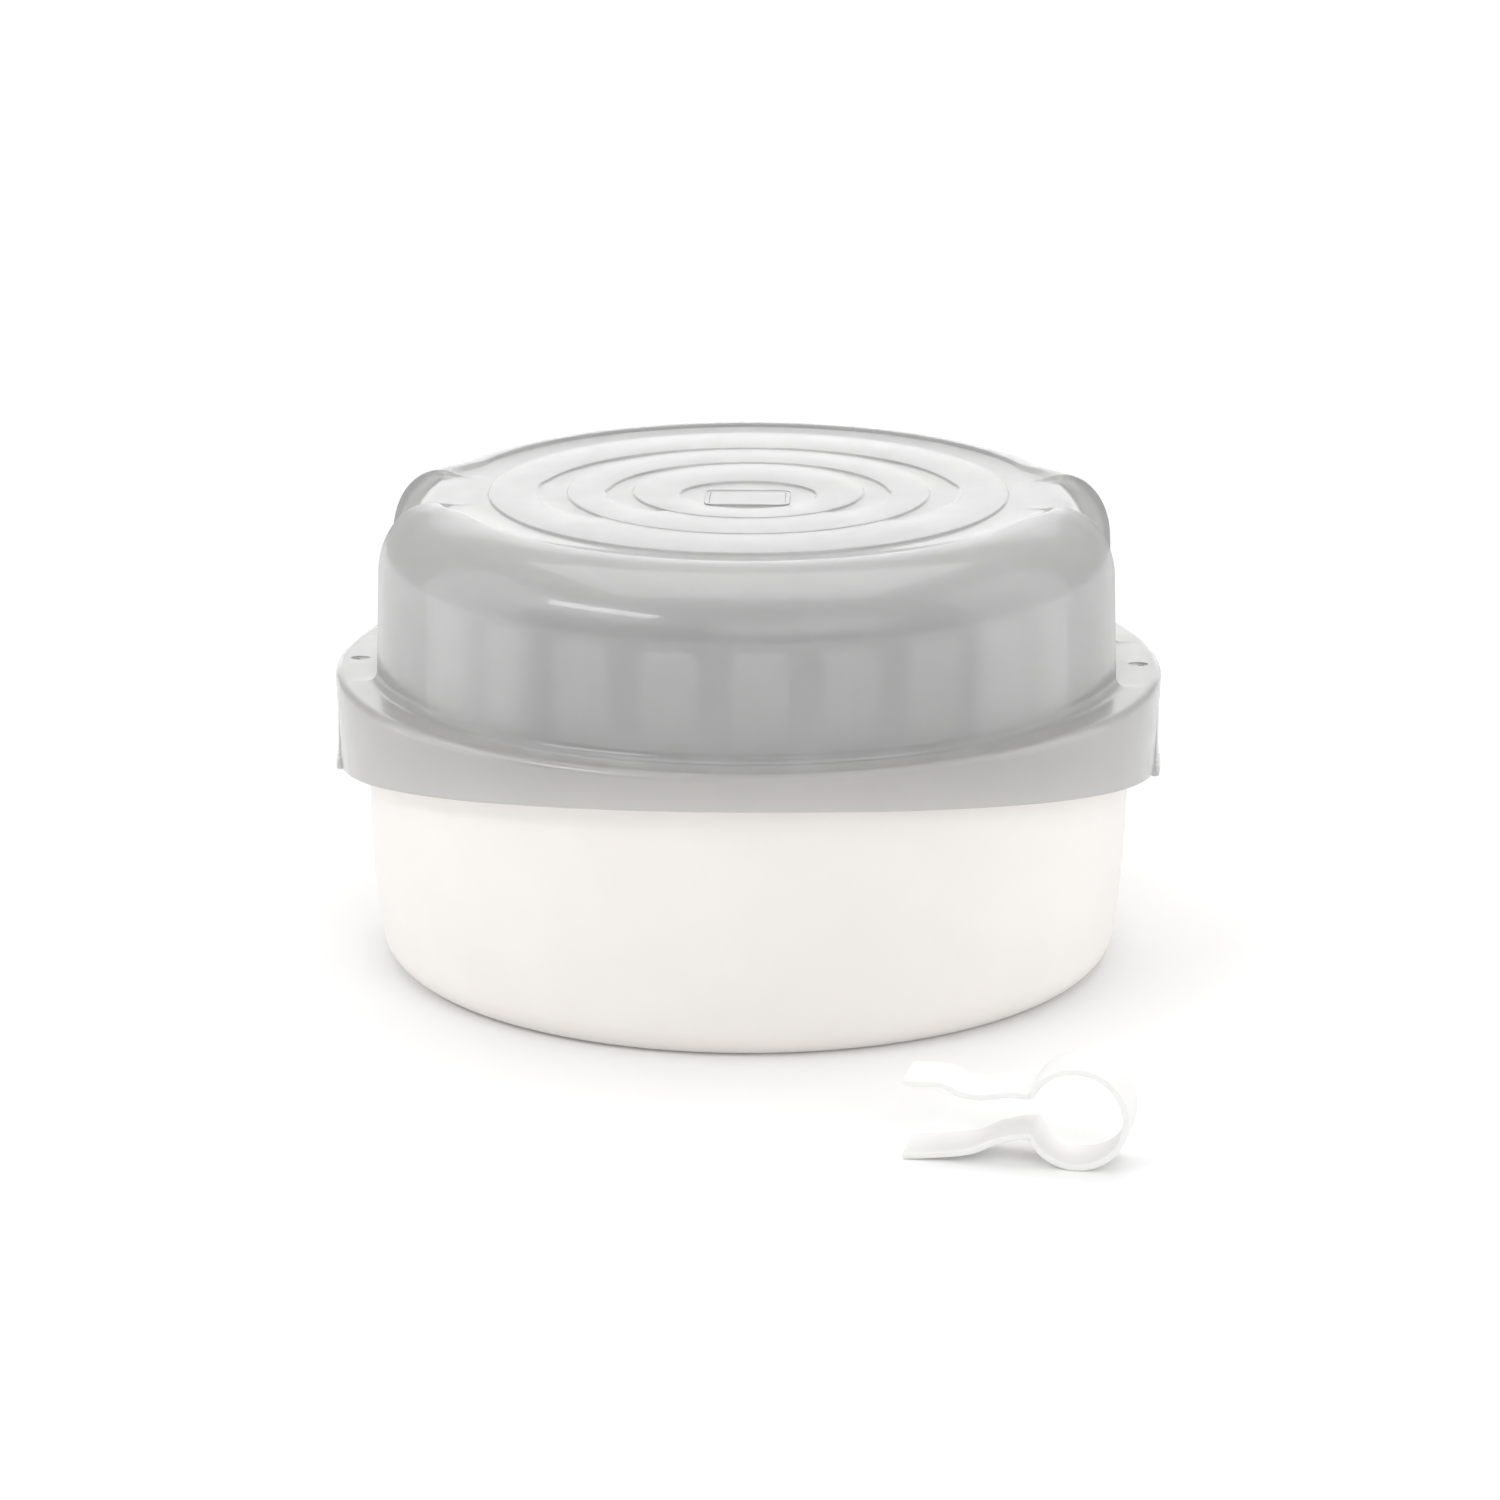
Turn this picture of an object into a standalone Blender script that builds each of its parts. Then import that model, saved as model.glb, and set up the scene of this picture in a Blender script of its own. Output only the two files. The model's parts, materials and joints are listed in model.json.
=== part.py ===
"""Microwave steam steriliser for feeding bottles, with its tongs.

Seven nodes: the water bowl, the bottle rack that stands in it, the lid, the two latches
hinged in the lid's skirt, and the two arms of the one-piece tongs lying in front.

Frame: Z is up, the front is -Y, and X runs through the two latches. The origin is on the
bowl's axis at its underside. Sizes are in millimetres up to new_object, which makes metres.
"""

from math import asin, cos, degrees, pi, radians, sin, sqrt

import bmesh
import bpy
from mathutils import Matrix, Vector

MM = 0.001

# Fits
GAP = 0.3  # air left between two pieces that rest on each other
EDGE = 0.6  # small break of an outer edge
SINK = 0.4  # how far a joined detail reaches into what it is joined to
CLEAR = 3.0  # how far a cutter reaches past what it cuts
WALL = 2.2  # moulded wall of the bowl, the lid and the rack

# Driving heights
RIM_TOP = 102.9  # top edge of the bowl
LEDGE_TOP = 105.5  # flat ledge around the lid's dome
DOME_TOP = 166.8  # plane around the ripple pattern
CREST_TOP = 168.2  # ridge that frames that plane

# Bowl
BOWL_FOOT_R = 119.0
BOWL_CORNER_R = 12.0
BOWL_TOP_R = 134.8
BOWL_BELLY = (2.5, 36.0)  # widening by this height above the bottom corner
BOWL_STRAIGHT = (0.2, 62.0)  # taper left above this height
BOWL_FLOOR = 2.6
RIM_BEAD_R = 137.0
RIM_BEAD_HEIGHT = 3.4
BOWL_COLUMNS = 64
STEAM_NOTCH_WIDTH = 14.0
STEAM_NOTCH_DEPTH = 3.0
CATCH_R = 140.5  # outer face of the catch that a latch hooks under
CATCH_WIDTH = 20.0
CATCH_UNDERSIDE = 73.5
CATCH_HEIGHT = 3.5

# Lid: dome and ledge
DOME_FOOT_R = 132.6
DOME_WALL_TOP_R = 131.6
DOME_WALL_TOP = 144.0
DOME_WAIST = (0.4, 126.0)  # how far inside the foot's radius the wall is at this height
FOOT_FILLET_R = 3.6
FILLET_SHARE = 0.3  # where a fillet's middle point lies, as a share of its radius
INNER_FILLET = 2.0
CREST_R = 105.0
CREST_WIDTH = 1.8
CREST_FLARE = 8.0  # how much further out the crest runs at the recess corners
CREST_FLARE_DEG = 28.0  # angle from X at which that begins
CREST_EASE = 0.2  # how much the crest's inner shoulder lies below its top
LEDGE_R = 146.0
LEDGE_EDGE_R = 3.0

# Lid: skirt, which is deeper at the latches than at the front
SKIRT_BOTTOM_R = 144.6
SKIRT_SIDE_BOTTOM = 67.6
SKIRT_FRONT_RISE = 22.8
SKIRT_SHAPE = 1.3

# Lid: grip recess in the dome at each latch
RECESS_TOP_R = 109.5
RECESS_FOOT_R = 126.0
RECESS_UPRIGHT = 5.0  # height above the ledge up to which the back wall is upright
RECESS_LIP = 0.1  # drop from the top plane to the back wall's first point
RECESS_FLAT_DEG = 10.0  # half angle of the recess's back wall
RECESS_EDGE_DEG = 13.0  # half angle at the recess's outer corners
RECESS_INNER_SHIFT_DEG = 0.7

# Lid: ripple pattern on top
RIPPLE_R = 91.0
RIPPLE_RISE = 1.0
RIPPLE_SLOPE = 0.8
RIPPLE_RINGS = (  # radius of each inner disc, greatest width of its crescents, angle of their points
    (64.0, 10.0, 11.7),
    (41.0, 9.0, 3.6),
)
RIPPLE_PEAK_DEG = 8.0
RIPPLE_SPAN_DEG = 52.0
RIPPLE_POINT_SHARE = 0.85
RIPPLE_BACK_WIDTH = 2.2
RIPPLE_FRONT_WIDTH = 1.2
HOLLOW_HALF = (23.6, 20.0)  # half axes of the oval hollow in the middle
HOLLOW_Y = -6.0

# Lid: steam vents
VENT_X = 139.4
VENT_R = 1.8
VENT_DIMPLE_R = 3.2
VENT_DIMPLE_DEPTH = 0.7

# Latches
LATCH_AXIS_X = 141.2
LATCH_AXIS_Z = 90.6
LATCH_BARREL_R = 3.1
LATCH_WIDTH = 35.0
LATCH_FACE_X = 145.5
LATCH_THICKNESS = 2.0
LATCH_TOP = 93.4
LATCH_BOTTOM = 69.2
LATCH_TAB_TOP = 80.0
LATCH_TAB_OUT = 0.9
LATCH_TAB_FACE = 4.0  # height of the tab's upright face
LATCH_CURVE_R = 145.0
LATCH_STEPS = 6
HOOK_TIP_X = 137.4
HOOK_WIDTH = 18.0
HOOK_TOP = 72.9
HOOK_HEIGHT = 3.2
TRUNNION_R = 1.4
TRUNNION_LENGTH = 2.4
TRUNNION_HOLE_R = 1.7
NOTCH_TOP = 95.6
NOTCH_SIDE_GAP = 0.5
CHEEK_THICKNESS = 3.0
CHEEK_INNER_X = 138.4
CHEEK_BOTTOM = 87.4
CHEEK_OUTER_INSET = 2.4  # from the skirt's outside, so that the cheek ends inside the wall

# Rack
RACK_R = 119.7
RACK_FLOOR_BOTTOM = 20.0
RACK_FLOOR_THICKNESS = 2.5
RACK_CORNER = 2.0
RACK_TOP = 139.5
RACK_TURN_DEG = 3.7
STAVES = 24
STAVE_GAP = 11.0
STAVE_END_R = 4.0
WINDOW_BOTTOM = 58.0
WINDOW_TOP = 92.0
SLOT_BOTTOM = 98.5
PEGS = 6
PEG_RING_R = 74.0
PEG_FOOT_R = 6.5
PEG_TIP_R = 4.5
PEG_TOP = 64.5
PEG_TIP_BREAK = 2.0
FEET = 6
FOOT_RING_R = 100.0
FOOT_R = 5.0
FOOT_TIP_R = 4.0
FLOOR_SLOT_WIDTH = 8.0
OUTER_FLOOR_SLOTS = (12, 84.0, 110.0)  # count, inner radius, outer radius
INNER_FLOOR_SLOTS = (6, 18.0, 58.0)

# Tongs: one bent strip, seen from the side with the tips at length 0
TONGS_TIP = (56.8, -225.1)  # front corner of the tips on the table
TONGS_TURN_DEG = -9.9
TONGS_WIDTH = 20.0
TONGS_THICKNESS = 2.1
BOW_CENTRE = (56.0, 17.3)
BOW_R = 16.2  # to the middle of the strip
BOW_STEPS = 10
BOW_GAP = 0.5  # between the two halves, at the far side of the bow
NECK_HEIGHT = 5.5  # above or below the bow's centre, where an arm meets the bow
UPPER_ARM = ((0.0, 26.0), (12.0, 26.0), (18.0, 23.6), (25.0, 22.8), (33.0, 24.2), (37.5, 24.3))
LOWER_ARM = ((0.0, 1.06), (12.0, 2.4), (22.0, 4.2), (30.0, 8.0), (37.5, 10.2))

# Mesh
LID_STEP_DEG = 5.0
SHOULDER_STEPS = 5
ROUND_SIDES = 16


def clear_scene():
    """Remove every object that the new file holds."""
    for item in list(bpy.data.objects):
        bpy.data.objects.remove(item, do_unlink=True)


def plastic(name, colour, roughness):
    """Make a plain moulded-plastic material."""
    material = bpy.data.materials.new(name)
    material.use_nodes = True
    shader = material.node_tree.nodes["Principled BSDF"]
    shader.inputs["Base Color"].default_value = (*colour, 1.0)
    shader.inputs["Roughness"].default_value = roughness
    shader.inputs["Metallic"].default_value = 0.0
    return material


def new_object(name, mesh_data, material=None):
    """Turn a bmesh in millimetres into an object in metres."""
    bmesh.ops.recalc_face_normals(mesh_data, faces=mesh_data.faces)
    bmesh.ops.scale(mesh_data, vec=(MM, MM, MM), verts=mesh_data.verts)
    mesh = bpy.data.meshes.new(name)
    mesh_data.to_mesh(mesh)
    mesh_data.free()
    item = bpy.data.objects.new(name, mesh)
    bpy.context.scene.collection.objects.link(item)
    if material:
        mesh.materials.append(material)
    return item


def shade_smooth(item, crease_deg=35.0):
    """Shade round faces smooth and keep edges sharper than the crease angle."""
    for polygon in item.data.polygons:
        polygon.use_smooth = True
    item.data.set_sharp_from_angle(angle=radians(crease_deg))


def set_origin(item, x, y, z):
    """Move the object's origin to a point given in millimetres, and leave its shape in place."""
    point = Vector((x, y, z)) * MM
    item.data.transform(Matrix.Translation(-point))
    item.location = point


def combine(item, tool, operation):
    """Join or cut with another object, which is then removed."""
    modifier = item.modifiers.new(operation.lower(), "BOOLEAN")
    modifier.operation = operation
    modifier.solver = "EXACT"
    modifier.object = tool
    bpy.context.view_layer.objects.active = item
    bpy.ops.object.modifier_apply(modifier=modifier.name)
    bpy.data.objects.remove(tool, do_unlink=True)


def add_prism(mesh_data, outline, to_point, start, end):
    """Add a closed prism. to_point places outline point (a, b) at depth start or end."""
    near = [mesh_data.verts.new(to_point(a, b, start)) for a, b in outline]
    far = [mesh_data.verts.new(to_point(a, b, end)) for a, b in outline]
    mesh_data.faces.new(near)
    mesh_data.faces.new(reversed(far))
    for i in range(len(outline)):
        j = (i + 1) % len(outline)
        mesh_data.faces.new((near[j], near[i], far[i], far[j]))


def add_box(mesh_data, low, high):
    """Add a box between two corners."""
    outline = ((low[0], low[1]), (high[0], low[1]), (high[0], high[1]), (low[0], high[1]))
    add_prism(mesh_data, outline, lambda a, b, depth: (a, b, depth), low[2], high[2])


def add_round_bar(mesh_data, sections, to_point):
    """Add a bar along depth. sections lists (depth, radius); to_point places (a, b, depth)."""
    rings = []
    for depth, radius in sections:
        ring = []
        for i in range(ROUND_SIDES):
            turn = 2.0 * pi * i / ROUND_SIDES
            ring.append(mesh_data.verts.new(to_point(radius * cos(turn), radius * sin(turn), depth)))
        rings.append(ring)
    mesh_data.faces.new(rings[0])
    mesh_data.faces.new(reversed(rings[-1]))
    for below, above in zip(rings, rings[1:]):
        for i in range(ROUND_SIDES):
            j = (i + 1) % ROUND_SIDES
            mesh_data.faces.new((below[j], below[i], above[i], above[j]))


def lofted_body(name, section_at, angles, material):
    """Loft the section of each angle around Z. A section starts and ends on the axis."""
    mesh_data = bmesh.new()
    sections = [section_at(angle) for angle in angles]
    first_pole = mesh_data.verts.new((0.0, 0.0, sections[0][0][1]))
    last_pole = mesh_data.verts.new((0.0, 0.0, sections[0][-1][1]))
    columns = []
    for angle, section in zip(angles, sections):
        columns.append([mesh_data.verts.new((r * cos(angle), r * sin(angle), z)) for r, z in section[1:-1]])
    for i, column in enumerate(columns):
        following = columns[(i + 1) % len(columns)]
        mesh_data.faces.new((first_pole, column[0], following[0]))
        mesh_data.faces.new((last_pole, following[-1], column[-1]))
        for k in range(len(column) - 1):
            mesh_data.faces.new((column[k], column[k + 1], following[k + 1], following[k]))
    return new_object(name, mesh_data, material)


def quarter_arc(centre, radii, start_deg, end_deg, steps):
    """Points on an arc or ellipse from one angle to another, both ends included."""
    points = []
    for i in range(steps + 1):
        turn = radians(start_deg + (end_deg - start_deg) * i / steps)
        points.append((centre[0] + radii[0] * cos(turn), centre[1] + radii[1] * sin(turn)))
    return points


def smoothstep(low, high, value):
    """Rise smoothly from 0 at low to 1 at high."""
    share = min(1.0, max(0.0, (value - low) / (high - low)))
    return share * share * (3.0 - 2.0 * share)


def angle_from_x(angle):
    """Degrees between a direction and the nearer end of the X axis."""
    return abs((degrees(angle) + 90.0) % 180.0 - 90.0)


# Bowl


def bowl_section(_angle):
    """Outside from the underside's centre up to the rim, then down the inside to the floor."""
    belly = (BOWL_FOOT_R + BOWL_CORNER_R + BOWL_BELLY[0], BOWL_BELLY[1])
    straight = (BOWL_TOP_R - BOWL_STRAIGHT[0], BOWL_STRAIGHT[1])
    bead_bottom = RIM_TOP - RIM_BEAD_HEIGHT
    outside = [(0.0, 0.0)]
    outside += quarter_arc((BOWL_FOOT_R, BOWL_CORNER_R), (BOWL_CORNER_R, BOWL_CORNER_R), -90.0, 0.0, 5)
    outside += [belly, straight, (BOWL_TOP_R, bead_bottom), (RIM_BEAD_R, bead_bottom + EDGE)]
    outside += [(RIM_BEAD_R, RIM_TOP - EDGE), (RIM_BEAD_R - EDGE, RIM_TOP)]
    inner_corner_r = BOWL_CORNER_R - WALL
    inside = [(BOWL_TOP_R - WALL, RIM_TOP), (straight[0] - WALL, straight[1])]
    inside += [(belly[0] - WALL, belly[1])]
    inside += quarter_arc(
        (BOWL_FOOT_R, BOWL_FLOOR + inner_corner_r), (inner_corner_r, inner_corner_r), 0.0, -90.0, 4
    )
    inside += [(0.0, BOWL_FLOOR)]
    return outside + inside


def add_catches(bowl):
    """Add the rib at each side that a latch hooks under."""
    for side in (-1.0, 1.0):
        mesh_data = bmesh.new()
        inner = side * (BOWL_TOP_R - WALL * 0.5)
        outer = side * CATCH_R
        low = (min(inner, outer), -CATCH_WIDTH / 2.0, CATCH_UNDERSIDE)
        high = (max(inner, outer), CATCH_WIDTH / 2.0, CATCH_UNDERSIDE + CATCH_HEIGHT)
        add_box(mesh_data, low, high)
        combine(bowl, new_object("catch", mesh_data), "UNION")


def cut_steam_notches(bowl):
    """Lower the rim at each side so that steam reaches the vents."""
    mesh_data = bmesh.new()
    low = (-LEDGE_R, -STEAM_NOTCH_WIDTH / 2.0, RIM_TOP - STEAM_NOTCH_DEPTH)
    high = (LEDGE_R, STEAM_NOTCH_WIDTH / 2.0, RIM_TOP + CLEAR)
    add_box(mesh_data, low, high)
    combine(bowl, new_object("steam_notch", mesh_data), "DIFFERENCE")


def make_bowl(material):
    """Water bowl: flat underside, drafted wall, rim bead, catches and steam notches."""
    angles = [2.0 * pi * i / BOWL_COLUMNS for i in range(BOWL_COLUMNS)]
    bowl = lofted_body("base_bowl", bowl_section, angles, material)
    add_catches(bowl)
    cut_steam_notches(bowl)
    shade_smooth(bowl)
    return bowl


# Lid


def ripple_width(angle, width, point_deg):
    """Width of a ripple's hollow: widest near its points, thin at the back, a line in front."""
    turn = degrees(asin(sin(angle)))  # 90 at the back, -90 at the front, the same left and right
    past_point = point_deg - turn
    if past_point < 0.0:
        share = ((90.0 - turn) / (90.0 - point_deg)) ** 1.6
        return RIPPLE_BACK_WIDTH + (width * RIPPLE_POINT_SHARE - RIPPLE_BACK_WIDTH) * share
    if past_point < RIPPLE_PEAK_DEG:
        rise = sin(past_point / RIPPLE_PEAK_DEG * pi / 2.0)
        return width * (RIPPLE_POINT_SHARE + (1.0 - RIPPLE_POINT_SHARE) * rise)
    fall = min(1.0, (past_point - RIPPLE_PEAK_DEG) / (RIPPLE_SPAN_DEG - RIPPLE_PEAK_DEG))
    return max(RIPPLE_FRONT_WIDTH, width * sqrt(1.0 - fall * fall))


def hollow_radius(angle):
    """Distance from the lid's axis to the edge of the oval hollow, which lies off that axis."""
    half_x, half_y = HOLLOW_HALF
    square = (cos(angle) / half_x) ** 2 + (sin(angle) / half_y) ** 2
    slant = -HOLLOW_Y * sin(angle) / half_y**2
    rest = (HOLLOW_Y / half_y) ** 2 - 1.0
    return (-slant + sqrt(slant * slant - square * rest)) / square


def ripple_points(angle):
    """Top relief from the centre out to the edge of the raised disc."""
    top = DOME_TOP + RIPPLE_RISE
    centre_r = hollow_radius(angle)
    points = [(0.0, DOME_TOP), (centre_r, DOME_TOP), (centre_r + RIPPLE_SLOPE, top)]
    for inner_r, width, point_deg in reversed(RIPPLE_RINGS):
        hollow = ripple_width(angle, width, point_deg)
        depth = RIPPLE_RISE * min(1.0, 0.35 + 0.2 * (hollow - RIPPLE_FRONT_WIDTH))
        points += [(inner_r - RIPPLE_SLOPE, top), (inner_r, top - depth)]
        points += [(inner_r + hollow, top - depth), (inner_r + hollow + RIPPLE_SLOPE, top)]
    points += [(RIPPLE_R, top), (RIPPLE_R + RIPPLE_SLOPE, DOME_TOP)]
    return points


def crest_radius(side_deg):
    """Radius of the crest, which curves outward towards the recesses."""
    return CREST_R + CREST_FLARE * smoothstep(CREST_FLARE_DEG, RECESS_EDGE_DEG, side_deg) ** 2


def dome_points(crest_z, wall_inset, side_deg):
    """Full dome from the crest down to the foot, without recesses."""
    crest_r = crest_radius(side_deg)
    shoulder = (DOME_WALL_TOP_R - wall_inset - crest_r, crest_z - DOME_WALL_TOP)
    points = quarter_arc((crest_r, DOME_WALL_TOP), shoulder, 90.0, 0.0, SHOULDER_STEPS)
    points += [(DOME_FOOT_R - wall_inset - DOME_WAIST[0], DOME_WAIST[1])]
    return points


def recess_points(crest_z, wall_inset, side_deg):
    """The same stations as dome_points, on the back wall of a grip recess."""
    reach = RECESS_FOOT_R - RECESS_TOP_R
    base = LEDGE_TOP + RECESS_UPRIGHT
    points = []
    for _radius, z in dome_points(crest_z, wall_inset, side_deg):
        lowered = min(z, DOME_TOP - RECESS_LIP)
        share = max(0.0, 1.0 - ((lowered - base) / (DOME_TOP - base)) ** 2)
        points.append((RECESS_TOP_R - wall_inset + reach * sqrt(share), lowered))
    return points


def blend_points(first, second, share):
    """Mix two lists of points."""
    mixed = []
    for (r0, z0), (r1, z1) in zip(first, second):
        mixed.append((r0 + (r1 - r0) * share, z0 + (z1 - z0) * share))
    return mixed


def skirt_bottom(angle):
    """Height of the skirt's lower edge."""
    return SKIRT_SIDE_BOTTOM + SKIRT_FRONT_RISE * abs(sin(angle)) ** SKIRT_SHAPE


def foot_points(radius):
    """Concave foot where a wall of the dome meets the ledge."""
    near = FOOT_FILLET_R * FILLET_SHARE
    return [
        (radius, LEDGE_TOP + FOOT_FILLET_R),
        (radius + near, LEDGE_TOP + near),
        (radius + FOOT_FILLET_R, LEDGE_TOP),
    ]


def dome_outside(side_deg):
    """Outside of the dome from the crest to the ledge, with its recesses."""
    crest_r = crest_radius(side_deg)
    full = [(crest_r - CREST_WIDTH, DOME_TOP), (crest_r - CREST_WIDTH / 2.0, CREST_TOP - CREST_EASE)]
    full += dome_points(CREST_TOP, 0.0, side_deg) + foot_points(DOME_FOOT_R)
    cut = [(CREST_R - CREST_WIDTH, DOME_TOP), (CREST_R + CREST_WIDTH / 2.0, DOME_TOP)]
    cut += recess_points(CREST_TOP, 0.0, side_deg) + foot_points(RECESS_FOOT_R)
    return blend_points(full, cut, smoothstep(RECESS_EDGE_DEG, RECESS_FLAT_DEG, side_deg))


def dome_inside(side_deg):
    """Inside of the dome from the ledge's underside up to the crest, with its recesses."""
    underside = RIM_TOP + GAP
    lines = []
    for foot_r, wall in ((DOME_FOOT_R, dome_points), (RECESS_FOOT_R, recess_points)):
        inner_r = foot_r - WALL
        line = [(inner_r + INNER_FILLET, underside), (inner_r, underside + INNER_FILLET)]
        lines.append(line + wall(DOME_TOP - WALL, WALL, side_deg)[::-1])
    edge = RECESS_EDGE_DEG + RECESS_INNER_SHIFT_DEG
    flat = RECESS_FLAT_DEG + RECESS_INNER_SHIFT_DEG
    return blend_points(lines[0], lines[1], smoothstep(edge, flat, side_deg))


def lid_section(angle):
    """Outside from the top's centre to the skirt's edge, then up the inside."""
    side = angle_from_x(angle)
    bottom = skirt_bottom(angle)
    skirt_inner = SKIRT_BOTTOM_R - WALL
    edge_centre = (LEDGE_R - LEDGE_EDGE_R, LEDGE_TOP - LEDGE_EDGE_R)
    outside = ripple_points(angle) + dome_outside(side)
    outside += quarter_arc(edge_centre, (LEDGE_EDGE_R, LEDGE_EDGE_R), 90.0, 0.0, 3)
    outside += [(SKIRT_BOTTOM_R, bottom + EDGE), (SKIRT_BOTTOM_R - EDGE, bottom)]
    inside = [(skirt_inner, bottom), (skirt_inner, RIM_TOP + GAP)]
    inside += dome_inside(side)
    inside += [(0.0, DOME_TOP - WALL)]
    return outside + inside


def lid_angles():
    """Even steps around, with closer ones over the corners of the grip recesses."""
    steps = int(360.0 / LID_STEP_DEG)
    angles = {round(i * LID_STEP_DEG, 3) for i in range(steps)}
    corner = RECESS_EDGE_DEG - RECESS_FLAT_DEG
    for middle in (0.0, 180.0):
        for side in (-1.0, 1.0):
            for i in range(4):
                offset = RECESS_FLAT_DEG + corner * i / 3.0 + RECESS_INNER_SHIFT_DEG * i / 3.0
                angles.add(round((middle + side * offset) % 360.0, 3))
    return [radians(angle) for angle in sorted(angles)]


def add_latch_cheeks(lid):
    """Add the cheeks inside the skirt that hold each latch's trunnions."""
    half_notch = LATCH_WIDTH / 2.0 + NOTCH_SIDE_GAP
    for side in (-1.0, 1.0):
        for end in (-1.0, 1.0):
            xs = sorted((side * CHEEK_INNER_X, side * (SKIRT_BOTTOM_R - CHEEK_OUTER_INSET)))
            ys = sorted((end * half_notch, end * (half_notch + CHEEK_THICKNESS)))
            mesh_data = bmesh.new()
            top = RIM_TOP + GAP + SINK
            add_box(mesh_data, (xs[0], ys[0], CHEEK_BOTTOM), (xs[1], ys[1], top))
            combine(lid, new_object("cheek", mesh_data), "UNION")


def cut_latch_notches(lid):
    """Cut the window that each latch hangs in, and the holes for its trunnions."""
    half_notch = LATCH_WIDTH / 2.0 + NOTCH_SIDE_GAP
    low_z = SKIRT_SIDE_BOTTOM - CLEAR
    for side in (-1.0, 1.0):
        xs = sorted((side * (CHEEK_INNER_X - 1.0), side * (LEDGE_R + CLEAR)))
        mesh_data = bmesh.new()
        add_box(mesh_data, (xs[0], -half_notch, low_z), (xs[1], half_notch, NOTCH_TOP))
        combine(lid, new_object("notch", mesh_data), "DIFFERENCE")
        mesh_data = bmesh.new()
        reach = half_notch + CHEEK_THICKNESS + CLEAR
        add_round_bar(
            mesh_data,
            ((-reach, TRUNNION_HOLE_R), (reach, TRUNNION_HOLE_R)),
            lambda a, b, depth, side=side: (side * LATCH_AXIS_X + a, depth, LATCH_AXIS_Z + b),
        )
        combine(lid, new_object("trunnion_holes", mesh_data), "DIFFERENCE")


def cut_vents(lid):
    """Cut a steam hole in a shallow dimple on each side of the ledge."""
    for side in (-1.0, 1.0):
        mesh_data = bmesh.new()
        sections = (
            (RIM_TOP - CLEAR, VENT_R),
            (LEDGE_TOP - VENT_DIMPLE_DEPTH, VENT_R),
            (LEDGE_TOP, VENT_DIMPLE_R),
            (LEDGE_TOP + CLEAR, VENT_DIMPLE_R + CLEAR),
        )
        add_round_bar(
            mesh_data,
            sections,
            lambda a, b, depth, side=side: (side * VENT_X + a, b, depth),
        )
        combine(lid, new_object("vent", mesh_data), "DIFFERENCE")


def make_lid(material):
    """Lid: domed shell with ripple relief, grip recesses, ledge, skirt, notches and vents."""
    lid = lofted_body("lid", lid_section, lid_angles(), material)
    add_latch_cheeks(lid)
    cut_latch_notches(lid)
    cut_vents(lid)
    shade_smooth(lid)
    return lid


# Latches


def latch_plate_points():
    """Profile of the hanging plate at its middle, as (x, z): outside down, inside up."""
    outer = LATCH_FACE_X
    inner = LATCH_FACE_X - LATCH_THICKNESS
    tab = outer + LATCH_TAB_OUT
    outside = [(outer - EDGE, LATCH_TOP), (outer, LATCH_TOP - EDGE), (outer, LATCH_TAB_TOP)]
    outside += [(tab, LATCH_BOTTOM + LATCH_TAB_FACE), (tab, LATCH_BOTTOM + EDGE)]
    outside += [(tab - EDGE, LATCH_BOTTOM)]
    return outside + [(inner, LATCH_BOTTOM), (inner, LATCH_TOP)]


def add_latch_plate(mesh_data, side):
    """Add the plate, curved like the skirt around it."""
    columns = []
    for i in range(LATCH_STEPS + 1):
        y = LATCH_WIDTH * (i / LATCH_STEPS - 0.5)
        sag = LATCH_CURVE_R - sqrt(LATCH_CURVE_R**2 - y * y)
        columns.append([mesh_data.verts.new((side * (x - sag), y, z)) for x, z in latch_plate_points()])
    mesh_data.faces.new(columns[0])
    mesh_data.faces.new(reversed(columns[-1]))
    for column, following in zip(columns, columns[1:]):
        for k in range(len(column)):
            after = (k + 1) % len(column)
            mesh_data.faces.new((column[k], column[after], following[after], following[k]))


def make_latch(name, side, material):
    """Latch: hinge barrel with moulded trunnions, hanging plate with a thumb tab, and hook."""
    mesh_data = bmesh.new()
    half = LATCH_WIDTH / 2.0
    sections = (
        (-half - TRUNNION_LENGTH, TRUNNION_R),
        (-half, TRUNNION_R),
        (-half, LATCH_BARREL_R),
        (half, LATCH_BARREL_R),
        (half, TRUNNION_R),
        (half + TRUNNION_LENGTH, TRUNNION_R),
    )
    add_round_bar(
        mesh_data,
        sections,
        lambda a, b, depth: (side * LATCH_AXIS_X + a, depth, LATCH_AXIS_Z + b),
    )
    latch = new_object(name, mesh_data, material)
    mesh_data = bmesh.new()
    add_latch_plate(mesh_data, side)
    combine(latch, new_object("plate", mesh_data), "UNION")
    mesh_data = bmesh.new()
    xs = sorted((side * HOOK_TIP_X, side * (LATCH_FACE_X - LATCH_THICKNESS / 2.0)))
    low = (xs[0], -HOOK_WIDTH / 2.0, HOOK_TOP - HOOK_HEIGHT)
    add_box(mesh_data, low, (xs[1], HOOK_WIDTH / 2.0, HOOK_TOP))
    combine(latch, new_object("hook", mesh_data), "UNION")
    shade_smooth(latch)
    set_origin(latch, side * LATCH_AXIS_X, 0.0, LATCH_AXIS_Z)
    return latch


# Rack


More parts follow.
